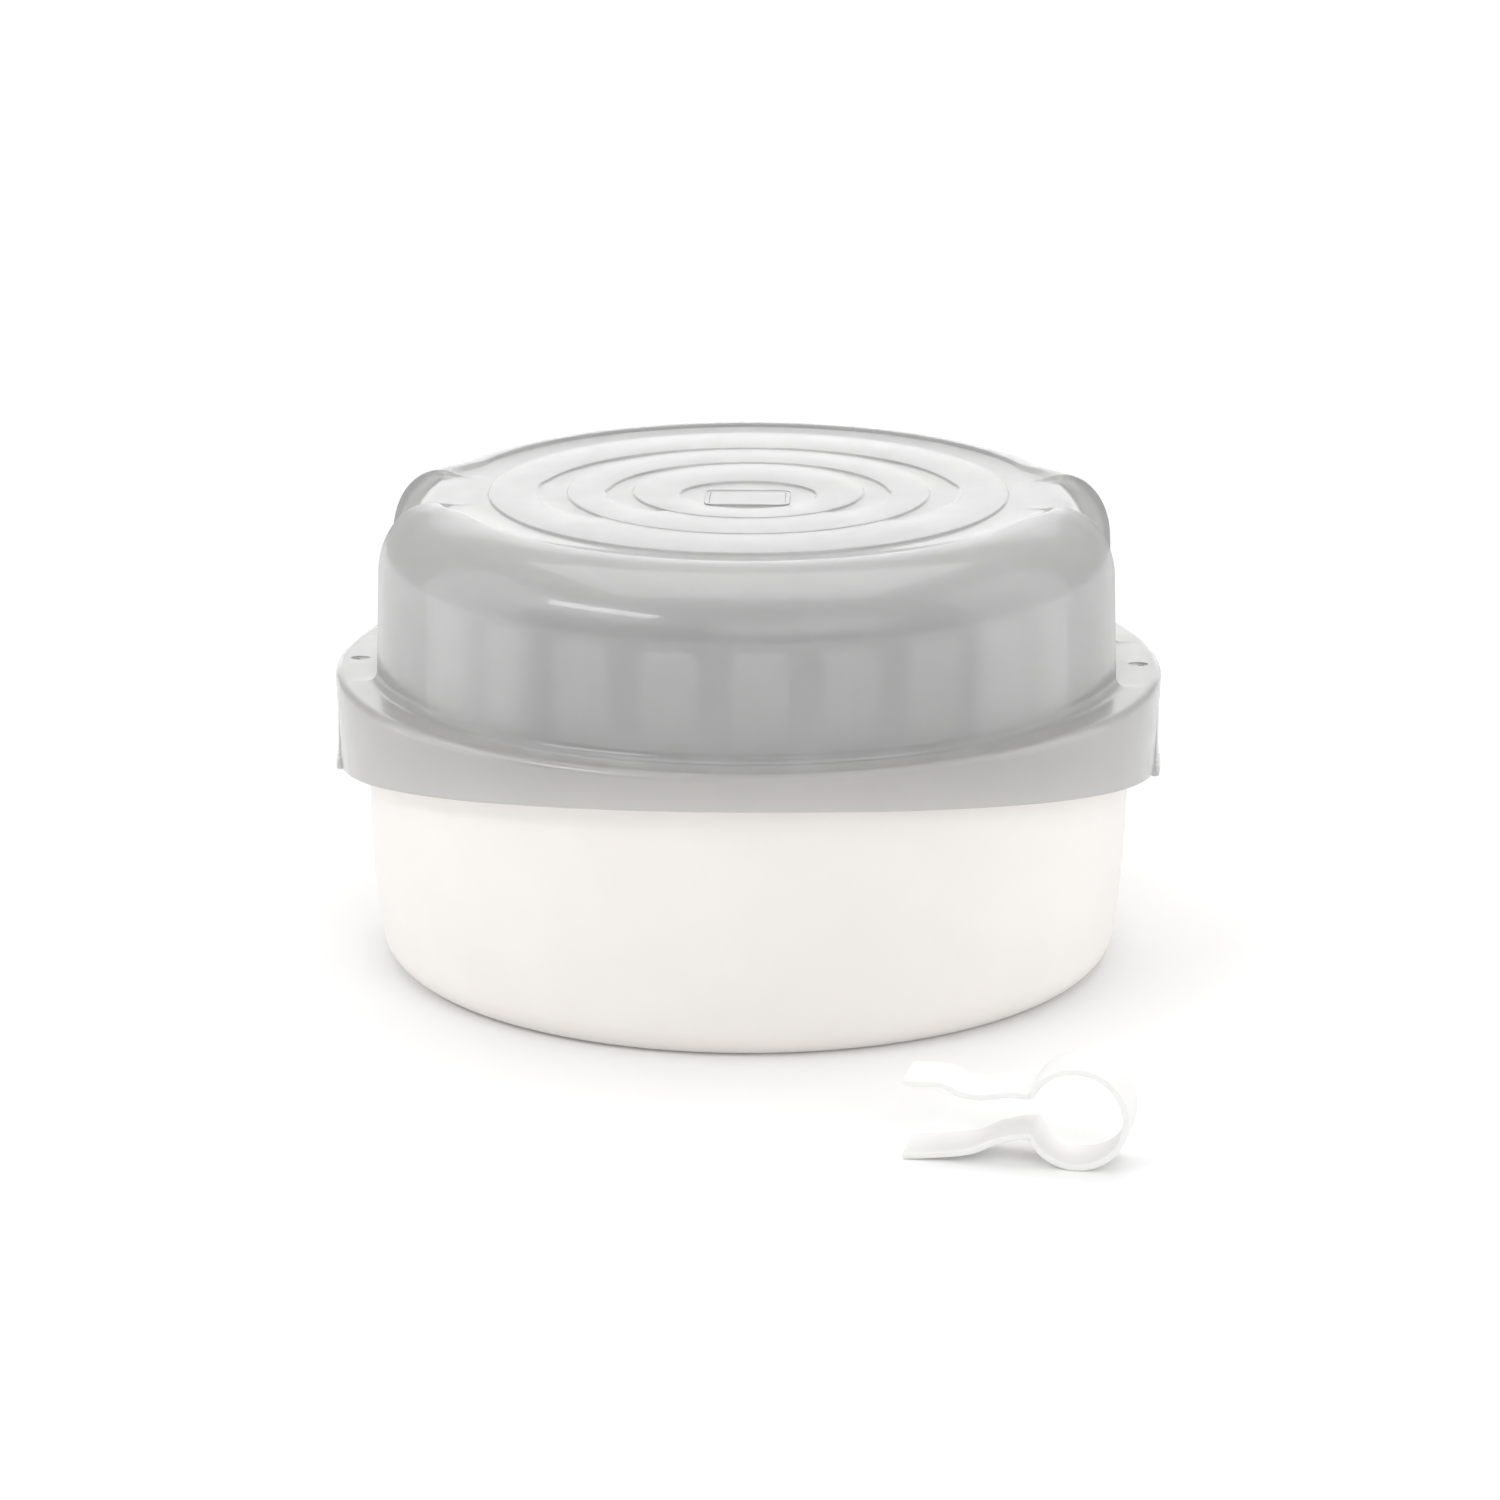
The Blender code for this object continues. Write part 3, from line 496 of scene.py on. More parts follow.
def add_soft_slab(mesh_data, outline, to_point, low, high, edge):
    """Add a prism whose two ends sink by a small edge inside their rims."""
    insets = [edge * (1.0 - sin(radians(turn))) for turn in SLAB_RIM_TURNS]
    sections = [(low + inset, inset) for inset in insets]
    sections += [(high - inset, inset) for inset in reversed(insets)]
    rings = []
    for depth, inset in sections:
        rings.append([to_point(*inset_point(outline, i, inset), depth) for i in range(len(outline))])
    loft_rings(mesh_data, rings)


def inset_point(outline, i, inset):
    """A point of a closed outline moved towards the inside by inset."""
    here = Vector(outline[i])
    before = Vector(outline[i - 1])
    after = Vector(outline[(i + 1) % len(outline)])
    along = (after - before).normalized()
    return tuple(here + Vector((-along[1], along[0])) * inset)


# Materials


def add_node(tree, kind, inputs=None, **values):
    """Add a shader node, and set its inputs and plain properties."""
    node = tree.nodes.new(kind)
    for name, value in values.items():
        setattr(node, name, value)
    set_inputs(node, inputs or {})
    return node


def set_inputs(node, inputs):
    """Set the named inputs of a node to plain values."""
    for name, value in inputs.items():
        node.inputs[name].default_value = value


def object_noise(tree, scale, detail):
    """Noise that is fixed to the piece's own coordinates."""
    place = add_node(tree, "ShaderNodeTexCoord")
    noise = add_node(tree, "ShaderNodeTexNoise", {"Scale": scale, "Detail": detail, "Roughness": 0.5})
    tree.links.new(place.outputs["Object"], noise.inputs["Vector"])
    return noise.outputs["Fac"]


def vary(tree, source, low, high):
    """Map a noise to a range."""
    ends = {"From Min": NOISE_SPAN[0], "From Max": NOISE_SPAN[1], "To Min": low, "To Max": high}
    spread = add_node(tree, "ShaderNodeMapRange", ends)
    tree.links.new(source, spread.inputs["Value"])
    return spread.outputs["Result"]


def mottled_colour(tree, shades):
    """Slight cloudiness of moulded plastic between two close colours."""
    cloud = vary(tree, object_noise(tree, CLOUD_SCALE, 3.0), 0.0, 1.0)
    colours = {"A": (*shades[0], 1.0), "B": (*shades[1], 1.0)}
    mix = add_node(tree, "ShaderNodeMix", data_type="RGBA", inputs=colours)
    tree.links.new(cloud, mix.inputs["Factor"])
    return mix.outputs["Result"]


def surface_bump(tree, grain, wave_strength):
    """Fine grain left by the mould, over a very slight waviness of the wall."""
    scale, strength = grain
    fine = object_noise(tree, scale, 2.0)
    wave = object_noise(tree, WAVE_SCALE, 1.0)
    first = add_node(tree, "ShaderNodeBump", {"Strength": strength, "Distance": GRAIN_HEIGHT})
    tree.links.new(fine, first.inputs["Height"])
    second = add_node(tree, "ShaderNodeBump", {"Strength": wave_strength, "Distance": WAVE_HEIGHT})
    tree.links.new(wave, second.inputs["Height"])
    tree.links.new(first.outputs["Normal"], second.inputs["Normal"])
    return second.outputs["Normal"]


def start_plastic(name, shader_inputs, shades, roughness, shine, grain, wave):
    """A material with its cloudy colour, uneven shine and bump, and its shader."""
    material = bpy.data.materials.new(name)
    material.use_nodes = True
    tree = material.node_tree
    shader = tree.nodes["Principled BSDF"]
    set_inputs(shader, shader_inputs)
    tree.links.new(mottled_colour(tree, shades), shader.inputs["Base Color"])
    scale, lower, higher = shine
    noise = object_noise(tree, scale, 3.0)
    tree.links.new(vary(tree, noise, roughness + lower, roughness + higher), shader.inputs["Roughness"])
    tree.links.new(surface_bump(tree, grain, wave), shader.inputs["Normal"])
    return material, shader


def opaque_plastic(name, shades, roughness, grain):
    """White polypropylene: satin, and slightly see-through at the surface."""
    return start_plastic(name, WHITE_SHADER, shades, roughness, WHITE_SHINE, grain, WHITE_WAVE)[0]


def translucent_plastic(name, shades, transmission, roughness, shadow_tint, shadow_pass):
    """Grey milky polypropylene: light passes and blurs, under a clearer moulded gloss.

    Part of each shadow ray passes straight through, so that light reaches what is inside.
    """
    material, shader = start_plastic(
        name, GREY_SHADER, shades, roughness, GREY_SHINE, GREY_GRAIN, GREY_WAVE
    )
    set_inputs(shader, {"Transmission Weight": transmission})
    tree = material.node_tree
    tint = (shadow_tint, shadow_tint, shadow_tint, 1.0)
    through = add_node(tree, "ShaderNodeBsdfTransparent", {"Color": tint})
    path = add_node(tree, "ShaderNodeLightPath")
    share = add_node(tree, "ShaderNodeMath", operation="MULTIPLY")
    share.inputs[1].default_value = shadow_pass
    tree.links.new(path.outputs["Is Shadow Ray"], share.inputs[0])
    mix = add_node(tree, "ShaderNodeMixShader")
    tree.links.new(share.outputs[0], mix.inputs["Fac"])
    tree.links.new(shader.outputs[0], mix.inputs[1])
    tree.links.new(through.outputs[0], mix.inputs[2])
    tree.links.new(mix.outputs[0], tree.nodes["Material Output"].inputs["Surface"])
    return material


# Bowl


def bowl_section(angle):
    """Outside from the underside's centre up to the rim, then down the inside to the floor."""
    notch = smoothstep(STEAM_NOTCH_DEG[1], STEAM_NOTCH_DEG[0], angle_from_x(angle))
    rim = RIM_TOP - STEAM_NOTCH_DEPTH * notch
    bead_bottom = min(RIM_TOP - RIM_BEAD_HEIGHT, rim - LEAST_BEAD)
    outside = [(0.0, 0.0), (BOWL_FOOT_R * 0.5, 0.0)]
    outside += arc((BOWL_FOOT_R, BOWL_CORNER_R), (BOWL_CORNER_R, BOWL_CORNER_R), -90.0, 0.0, steps=14)
    outside += BOWL_SIDE
    outside += rounded(
        [
            BOWL_NECK,
            (BOWL_TOP_R, bead_bottom, FINE_EDGE),
            (RIM_BEAD_R, bead_bottom + EDGE, EDGE),
            (RIM_BEAD_R, rim, SOFT_EDGE),
            (BOWL_TOP_R - WALL, rim, BROAD_EDGE),
            (BOWL_NECK[0] - WALL, BOWL_NECK[1]),
        ]
    )
    inner_r = BOWL_CORNER_R - WALL
    inside = [(radius - WALL, z) for radius, z in reversed(BOWL_SIDE)]
    inside += arc((BOWL_FOOT_R, BOWL_FLOOR + inner_r), (inner_r, inner_r), 0.0, -50.0, steps=7)
    inside += arc((BOWL_FOOT_R, BOWL_FLOOR + inner_r), (inner_r, inner_r), -60.0, -90.0, steps=4)
    inside += [(BOWL_FOOT_R * 0.5, BOWL_FLOOR), (0.0, BOWL_FLOOR)]
    return outside + inside


def make_bowl(material):
    """Water bowl with its rim bead, steam notches and latch catches."""
    mesh_data = bmesh.new()
    loft_around(mesh_data, bowl_section, even_angles(BOWL_COLUMNS))
    for side in (-1.0, 1.0):
        outline = rounded(
            [
                (side * (BOWL_TOP_R - WALL * 0.5), CATCH_UNDERSIDE),
                (side * CATCH_R, CATCH_UNDERSIDE, FINE_EDGE),
                (side * CATCH_R, CATCH_UNDERSIDE + CATCH_HEIGHT * 0.5, BROAD_EDGE),
                (side * (BOWL_TOP_R - WALL * 0.5), CATCH_UNDERSIDE + CATCH_HEIGHT),
            ]
        )
        half = CATCH_WIDTH / 2.0
        add_prism(mesh_data, outline, along_y, -half, half)
    shade_smooth(new_piece("bowl_shell", mesh_data, material, "base", ["base_bowl"]))


# Lid


def ripple_width(angle, width, point_deg):
    """Width of a ripple's hollow: widest near its points, thin at the back, a line in front."""
    turn = degrees(asin(sin(angle)))
    past_point = point_deg - turn
    if past_point < 0.0:
        share = ((90.0 - turn) / (90.0 - point_deg)) ** RIPPLE_BACK_FADE
        return RIPPLE_BACK_WIDTH + (width * RIPPLE_POINT_SHARE - RIPPLE_BACK_WIDTH) * share
    if past_point < RIPPLE_PEAK_DEG:
        rise = sin(past_point / RIPPLE_PEAK_DEG * pi / 2.0)
        return width * (RIPPLE_POINT_SHARE + (1.0 - RIPPLE_POINT_SHARE) * rise)
    fall = min(1.0, (past_point - RIPPLE_PEAK_DEG) / (RIPPLE_SPAN_DEG - RIPPLE_PEAK_DEG))
    return max(RIPPLE_FRONT_WIDTH, width * sqrt(1.0 - fall * fall))


def hollow_r(angle):
    """Distance from the lid's axis to the edge of the oval hollow, which lies off the axis."""
    half_x, half_y = HOLLOW_HALF
    square = (cos(angle) / half_x) ** 2 + (sin(angle) / half_y) ** 2
    slant = -HOLLOW_Y * sin(angle) / half_y**2
    rest = (HOLLOW_Y / half_y) ** 2 - 1.0
    return (-slant + sqrt(slant * slant - square * rest)) / square


def ripple_corners(angle):
    """Top relief from the centre out to the edge of the raised disc."""
    top = DOME_TOP + RIPPLE_RISE
    centre_r = hollow_r(angle)
    edges = [(centre_r, DOME_TOP), (centre_r + RIPPLE_SLOPE, top)]
    for inner_r, width, point_deg in reversed(RIPPLE_RINGS):
        hollow = ripple_width(angle, width, point_deg)
        line_depth, growth = RIPPLE_LINE_DEPTH
        depth = RIPPLE_RISE * min(1.0, line_depth + growth * (hollow - RIPPLE_FRONT_WIDTH))
        edges += [(inner_r - RIPPLE_SLOPE, top), (inner_r, top - depth)]
        edges += [(inner_r + hollow, top - depth), (inner_r + hollow + RIPPLE_SLOPE, top)]
    edges += [(RIPPLE_R, top), (RIPPLE_R + RIPPLE_SLOPE, DOME_TOP)]
    flat = [(0.0, DOME_TOP), (centre_r * 0.6, DOME_TOP)]
    return flat + [(radius, z, RIPPLE_FILLET) for radius, z in edges]


def crest_ease(side_deg):
    """0 on most of the crest, rising to 1 at the edge of a recess."""
    return smoothstep(CREST_FLARE_DEG, RECESS_EDGE_DEG, side_deg)


def crest_radius(side_deg):
    """Radius of the crest, which curves outward towards the recesses."""
    return CREST_R + CREST_FLARE * crest_ease(side_deg) ** 2


def dome_points(crest_z, wall_inset, side_deg):
    """Full dome from the crest down to the foot, without recesses."""
    crest_r = crest_radius(side_deg)
    shoulder = (DOME_WALL_TOP_R - wall_inset - crest_r, crest_z - DOME_WALL_TOP)
    points = arc((crest_r, DOME_WALL_TOP), shoulder, 90.0, 0.0, SHOULDER_STEPS)
    top_r = DOME_WALL_TOP_R - wall_inset
    foot = (DOME_FOOT_R - wall_inset, LEDGE_TOP + FOOT_FILLET_R + 1.0)
    for i in range(1, WALL_STEPS + 1):
        share = i / WALL_STEPS
        points.append((top_r + (foot[0] - top_r) * share, DOME_WALL_TOP + (foot[1] - DOME_WALL_TOP) * share))
    return points


def recess_points(crest_z, wall_inset, side_deg):
    """The same stations as dome_points, on the back wall of a grip recess."""
    reach = RECESS_FOOT_R - RECESS_TOP_R
    base = LEDGE_TOP + RECESS_UPRIGHT
    points = []
    for _radius, z in dome_points(crest_z, wall_inset, side_deg):
        lowered = min(z, DOME_TOP - RECESS_SINK)
        share = max(0.0, 1.0 - (max(0.0, lowered - base) / (DOME_TOP - base)) ** 2)
        points.append((RECESS_TOP_R - wall_inset + reach * sqrt(share), lowered))
    return points


def blend_corners(first, second, share):
    """Mix two outlines corner by corner."""
    mixed = []
    for one, other in zip(first, second):
        mixed.append(tuple(a + (b - a) * share for a, b in zip(one, other)))
    return mixed


def recess_share(side_deg, shift_deg):
    """0 on the full dome, 1 in the recess: a crisp outer corner that runs out into the back wall."""
    edge = RECESS_EDGE_DEG + shift_deg
    flat = RECESS_FLAT_DEG + shift_deg
    share = min(1.0, max(0.0, (edge - side_deg) / (edge - flat)))
    return smoothstep(0.0, RECESS_CORNER_SHARE, share) * (1.0 - (1.0 - share) ** RECESS_RUN_OUT)


def skirt_bottom(angle):
    """Height of the skirt's lower edge."""
    return SKIRT_SIDE_BOTTOM + SKIRT_FRONT_RISE * abs(sin(angle)) ** SKIRT_SHAPE


def foot_corners(radius):
    """Concave foot of the dome where it meets the ledge."""
    centre = (radius + FOOT_FILLET_R, LEDGE_TOP + FOOT_FILLET_R)
    return arc(centre, (FOOT_FILLET_R, FOOT_FILLET_R), 180.0, 270.0, steps=6)


def dome_outside(side_deg):
    """Outside of the dome from the crest to the ledge, with its recesses."""
    width = CREST_WIDTH + CREST_SOFTENING * crest_ease(side_deg)
    inner = crest_radius(side_deg) - width
    full = [(inner + width * share, DOME_TOP + CREST_RISE * rise) for share, rise in CREST_PROFILE]
    full += dome_points(CREST_TOP, 0.0, side_deg) + foot_corners(DOME_FOOT_R)
    inner = CREST_R - CREST_WIDTH - CREST_SOFTENING
    reach = RECESS_TOP_R - RECESS_LIP - inner
    cut = [(inner + reach * share, DOME_TOP) for share, _rise in CREST_PROFILE]
    cut += recess_points(CREST_TOP, 0.0, side_deg) + foot_corners(RECESS_FOOT_R)
    return blend_corners(full, cut, recess_share(side_deg, 0.0))


def dome_inside(side_deg):
    """Inside of the dome from the ledge's underside up to the crest, with its recesses."""
    underside = RIM_TOP + GAP
    lines = []
    for foot_r, wall in ((DOME_FOOT_R, dome_points), (RECESS_FOOT_R, recess_points)):
        inner_r = foot_r - WALL
        line = [(inner_r + INNER_FILLET, underside), (inner_r, underside + INNER_FILLET)]
        lines.append(line + wall(DOME_TOP - WALL, WALL, side_deg)[::-1])
    return blend_corners(lines[0], lines[1], recess_share(side_deg, RECESS_INNER_SHIFT_DEG))


def lid_section(angle):
    """Outside from the top's centre to the skirt's edge, then up the inside."""
    side = angle_from_x(angle)
    bottom = skirt_bottom(angle)
    underside = RIM_TOP + GAP
    edge_centre = (LEDGE_R - LEDGE_EDGE_R, LEDGE_TOP - LEDGE_EDGE_R)
    skirt = [
        (SKIRT_BOTTOM_R + SKIRT_BULGE, (bottom + LEDGE_TOP) / 2.0),
        (SKIRT_BOTTOM_R, bottom, BROAD_EDGE),
        (SKIRT_BOTTOM_R - WALL, bottom, BROAD_EDGE),
        (SKIRT_BOTTOM_R - WALL, (bottom + underside) / 2.0),
    ]
    outside = rounded(ripple_corners(angle)) + dome_outside(side)
    outside += arc(edge_centre, (LEDGE_EDGE_R, LEDGE_EDGE_R), 90.0, 0.0, steps=8)
    outside += rounded(skirt)
    inside = [(SKIRT_BOTTOM_R - WALL, underside)]
    inside += dome_inside(side)
    inside += [(CREST_R * 0.5, DOME_TOP - WALL), (0.0, DOME_TOP - WALL)]
    return outside + inside


def lid_angles():
    """Steps of one degree, with closer ones over the corners of the recesses."""
    angles = {round(float(i), 3) for i in range(360)}
    low, step, count = RECESS_CLOSE_STEPS
    for middle in (0.0, 180.0):
        for side in (-1.0, 1.0):
            for i in range(count):
                angles.add(round((middle + side * (low + step * i)) % 360.0, 3))
    return [radians(angle) for angle in sorted(angles)]


def cheek_tool():
    """Blocks inside the skirt that hold the latches' trunnions."""
    mesh_data = bmesh.new()
    for side in (-1.0, 1.0):
        outline = rounded(
            [
                (side * CHEEK_INNER_X, CHEEK_ROOT),
                (side * CHEEK_INNER_X, CHEEK_BOTTOM, CHEEK_FILLET),
                (side * CHEEK_OUTER_X, CHEEK_BOTTOM),
                (side * CHEEK_OUTER_X, CHEEK_ROOT),
            ],
        )
        for end in (-1.0, 1.0):
            start = end * HALF_WINDOW
            add_prism(mesh_data, outline, along_y, start, start + end * CHEEK_THICKNESS)
    return plain_object("cheeks", mesh_data)


def plate_tool(inset, low, high):
    """Plain rounded plate in the middle of the ripple pattern, between two heights."""
    half_x, half_y = PLATE_HALF[0] - inset, PLATE_HALF[1] - inset
    corner_r = PLATE_CORNER_R - inset
    corners = [(-half_x, -half_y), (half_x, -half_y), (half_x, half_y), (-half_x, half_y)]
    outline = rounded([(x, y, corner_r) for x, y in corners], closed=True)
    mesh_data = bmesh.new()
    add_soft_slab(mesh_data, outline, lambda a, b, depth: (a, b + PLATE_Y, depth), low, high, RIPPLE_FILLET)
    return plain_object("plate", mesh_data)


def window_tool():
    """Windows in the skirt that the latches hang in."""
    low = SKIRT_SIDE_BOTTOM - CUT_PAST
    mesh_data = bmesh.new()
    for side in (-1.0, 1.0):
        inner = side * (CHEEK_INNER_X - CUT_PAST)
        outer = side * (LEDGE_R + CUT_PAST)
        outline = [(inner, low), (outer, low), (outer, WINDOW_TOP), (inner, WINDOW_TOP)]
        add_prism(mesh_data, outline, along_y, -HALF_WINDOW, HALF_WINDOW)
    return plain_object("windows", mesh_data)


def hole_tool():
    """Trunnion holes and steam vents."""
    reach = HALF_WINDOW + CHEEK_THICKNESS + TRUNNION_HOLE_PAST
    stretch = (VENT_DIMPLE[0] / VENT_R - 1.0, VENT_DIMPLE[1] / VENT_R - 1.0)
    sections = [(RIM_TOP - CUT_PAST, 0.0)]
    sections += [(LEDGE_TOP - depth, share) for depth, share in VENT_FUNNEL]
    sections += [(LEDGE_TOP + VENT_MOUTH[0], VENT_MOUTH[1])]
    mesh_data = bmesh.new()
    for side in (-1.0, 1.0):
        add_round_bar(
            mesh_data,
            ((-reach, TRUNNION_HOLE_R), (reach, TRUNNION_HOLE_R)),
            lambda a, b, depth, side=side: (side * LATCH_AXIS_X + a, depth, LATCH_AXIS_Z + b),
            sides=20,
        )
        rings = []
        for depth, share in sections:
            ring = []
            for turn in even_angles(28):
                a = VENT_R * cos(turn) * (1.0 + stretch[0] * share)
                b = VENT_R * sin(turn) * (1.0 + stretch[1] * share)
                ring.append((side * (VENT_X - VENT_SHIFT * share) + a, b, depth))
            rings.append(ring)
        loft_rings(mesh_data, rings)
    return plain_object("holes", mesh_data)


def make_lid(material):
    """Lid: domed shell with ripple relief, grip recesses, ledge, skirt, notches and vents."""
    mesh_data = bmesh.new()
    loft_around(mesh_data, lid_section, lid_angles())
    lid = new_piece("lid_shell", mesh_data, material, "lid", ["lid"])
    combine(lid, cheek_tool(), "UNION")
    combine(lid, plate_tool(0.0, DOME_TOP - PLATE_SUNK, DOME_TOP + PLATE_RISE), "UNION")
    combine(lid, plate_tool(PLATE_FRAME, DOME_TOP + PLATE_FLOOR, DOME_TOP + CUT_PAST), "DIFFERENCE")
    combine(lid, window_tool(), "DIFFERENCE")
    combine(lid, hole_tool(), "DIFFERENCE")
    shade_smooth(lid, LID_CREASE_DEG)


# Latches


def latch_plate_corners():
    """Profile of the hanging plate at its middle, as (x, z, fillet), closed."""
    outer = LATCH_FACE_X
    inner = LATCH_FACE_X - LATCH_THICKNESS
    tab = outer + LATCH_TAB_OUT
    corners = [(inner, LATCH_TOP, EDGE), (outer, LATCH_TOP, BROAD_EDGE)]
    corners += [(outer, LATCH_TAB_TOP, LATCH_TAB_FILLET)]
    rib_step = (LATCH_RIB_START - LATCH_BOTTOM) / (LATCH_GRIP_RIBS + 1)
    for i in range(LATCH_GRIP_RIBS):
        z = LATCH_RIB_START - rib_step * i
        crest_x = outer + LATCH_TAB_OUT * (i + 1) / (LATCH_GRIP_RIBS + 1)
        corners += [(crest_x, z, HOOK_EDGE), (crest_x - LATCH_RIB_DEPTH, z - rib_step * 0.5, FINE_EDGE)]
    corners += [(tab, LATCH_BOTTOM + LATCH_TAB_LIP, FINE_EDGE)]
    corners += [(tab, LATCH_BOTTOM, SOFT_EDGE), (inner, LATCH_BOTTOM, SOFT_EDGE)]
    return corners


def add_latch_plate(mesh_data, side):
    """Add the plate, curved like the skirt around it, with softened ends."""
    profile = rounded(latch_plate_corners(), closed=True)
    middle_x = LATCH_FACE_X - LATCH_THICKNESS / 2.0
    half = LATCH_WIDTH / 2.0
    stations = [(depth - half, fullness) for depth, fullness in LATCH_END]
    stations += [(half * share / 5.0, 1.0) for share in range(-4, 5)]
    stations += [(half - depth, fullness) for depth, fullness in reversed(LATCH_END)]
    rings = []
    for y, fullness in stations:
        sag = LATCH_CURVE_R - sqrt(LATCH_CURVE_R**2 - y * y)
        rings.append([(side * (middle_x + (x - middle_x) * fullness - sag), y, z) for x, z in profile])
    loft_rings(mesh_data, rings)


def make_latch(name, side, material):
    """Latch: hinge barrel with trunnions, hanging plate with a ribbed thumb tab, and hook.

    A latch's CAD node and body have the same name.
    """
    mesh_data = bmesh.new()
    half = LATCH_WIDTH / 2.0
    tip = half + TRUNNION_LENGTH
    end = [(tip, TRUNNION_R - BAR_EDGE), (tip - BAR_EDGE, TRUNNION_R), (half, TRUNNION_R)]
    end += [(half, LATCH_BARREL_R - BAR_EDGE), (half - BAR_EDGE, LATCH_BARREL_R)]
    sections = [(-depth, radius) for depth, radius in end] + end[::-1]
    add_round_bar(mesh_data, sections, lambda a, b, depth: (side * LATCH_AXIS_X + a, depth, LATCH_AXIS_Z + b))
    latch = new_piece(f"{name}_clip", mesh_data, material, name, [name])
    mesh_data = bmesh.new()
    add_latch_plate(mesh_data, side)
    combine(latch, plain_object("plate", mesh_data), "UNION")
    mesh_data = bmesh.new()
    root = side * (LATCH_FACE_X - LATCH_THICKNESS / 2.0)
    outline = rounded(
        [
            (root, HOOK_TOP),
            (side * HOOK_TIP_X, HOOK_TOP, HOOK_EDGE),
            (side * HOOK_TIP_X, HOOK_TOP - HOOK_HEIGHT * HOOK_TIP_SHARE, BROAD_EDGE),
            (root, HOOK_TOP - HOOK_HEIGHT),
        ]
    )
    add_prism(mesh_data, outline, along_y, -HOOK_WIDTH / 2.0, HOOK_WIDTH / 2.0)
    combine(latch, plain_object("hook", mesh_data), "UNION")
    shade_smooth(latch)


# Rack


def stave_ring(middle, half_width, half_thickness, z):
    """Cross-section of a stave at a height: a rounded strip bent round the rack."""
    radius = RACK_R - WALL / 2.0
    ring = []
    flat = max(0.05, half_width - half_thickness)
    for i in range(7):
        ring.append((-flat + 2.0 * flat * i / 6, half_thickness))
    for i in range(1, 6):
        turn = radians(90.0 - 180.0 * i / 6)
        ring.append((flat + half_thickness * cos(turn), half_thickness * sin(turn)))
    for i in range(7):
        ring.append((flat - 2.0 * flat * i / 6, -half_thickness))
    for i in range(1, 6):
        turn = radians(270.0 - 180.0 * i / 6)
        ring.append((-flat + half_thickness * cos(turn), half_thickness * sin(turn)))
    points = []
    for across, out in ring:
        turn = middle + across / radius
        points.append(((radius + out) * cos(turn), (radius + out) * sin(turn), z))
    return points


def add_stave(mesh_data, middle):
    """Add one upright stave with a rounded top."""
    pitch = 2.0 * pi * (RACK_R - WALL / 2.0) / STAVES
    full = (pitch - STAVE_GAP) / 2.0
    straight_top = RACK_TOP - STAVE_END_R
    heights = [TUB_TOP - STAVE_ROOT, *HOOP]
    heights += [HOOP[1] + (straight_top - HOOP[1]) * i / 6 for i in range(1, 7)]
    rings = [stave_ring(middle, full, WALL / 2.0, z) for z in heights]
    shares = [1.0] * 5 + list(STAVE_TIP_SHARES)
    for i, share in enumerate(shares, start=1):
        turn = radians(90.0 * i / len(shares))
        z = straight_top + STAVE_END_R * sin(turn)
        half_width = full - STAVE_END_R * (1.0 - cos(turn))
        rings.append(stave_ring(middle, half_width, share * WALL / 2.0, z))
    loft_rings(mesh_data, rings)


def add_hoop(mesh_data, low, high, thickness):
    """Add a ring of the rack's wall with rounded edges."""
    half = thickness / 2.0
    middle = RACK_R - WALL / 2.0
    corners = [(middle - half, low), (middle + half, low), (middle + half, high), (middle - half, high)]
    section = rounded([(r, z, half * HOOP_ROUNDING) for r, z in corners], closed=True)
    rings = [[(r * cos(turn), r * sin(turn), z) for r, z in section] for turn in even_angles(240)]
    loft_rings(mesh_data, rings, closed=True)


def make_tub(material):
    """Floor of the rack with its radial steam slots, and the low wall around it."""
    inner_r = RACK_R - WALL
    foot_fillet, top_fillet, inside_fillet = TUB_FILLETS
    corners = [
        (0.0, RACK_FLOOR_BOTTOM),
        (RACK_R, RACK_FLOOR_BOTTOM, foot_fillet),
        (RACK_R, TUB_TOP, top_fillet),
        (inner_r, TUB_TOP, top_fillet),
        (inner_r, FLOOR_TOP, inside_fillet),
        (0.0, FLOOR_TOP),
    ]
    mesh_data = bmesh.new()
    section = rounded(corners)
    loft_around(mesh_data, lambda _angle: section, even_angles(192))
    tub = new_piece("rack_tub", mesh_data, material, "rack", ["bottle_rack"])
    for count, low, high in (OUTER_FLOOR_SLOTS, INNER_FLOOR_SLOTS):
        combine(tub, slot_tool(count, low, high), "DIFFERENCE")
    tub.data.transform(Matrix.Rotation(radians(RACK_TURN_DEG), 4, "Z"))
    shade_smooth(tub)


def slot_tool(count, low, high):
    """Round-ended cutters for one ring of floor slots."""
    half = FLOOR_SLOT_WIDTH / 2.0
    outline = arc((high - half, 0.0), (half, half), -90.0, 90.0, steps=10)
    outline += arc((low + half, 0.0), (half, half), 90.0, 270.0, steps=10)
    mesh_data = bmesh.new()
    for i in range(count):
        turn = Matrix.Rotation(2.0 * pi * (i + 0.5) / count, 3, "Z")
        add_prism(
            mesh_data,
            outline,
            lambda a, b, depth, t=turn: t @ Vector((a, b, depth)),
            RACK_FLOOR_BOTTOM - CUT_PAST,
            FLOOR_TOP + CUT_PAST,
        )
    return plain_object("slots", mesh_data)


def add_posts(mesh_data, count, ring_r, sections):
    """Add a ring of upright round posts."""
    for turn in even_angles(count):
        middle = (ring_r * cos(turn), ring_r * sin(turn))
        add_round_bar(
            mesh_data,
            sections,
            lambda a, b, depth, m=middle: (m[0] + a, m[1] + b, depth),
            sides=28,
        )


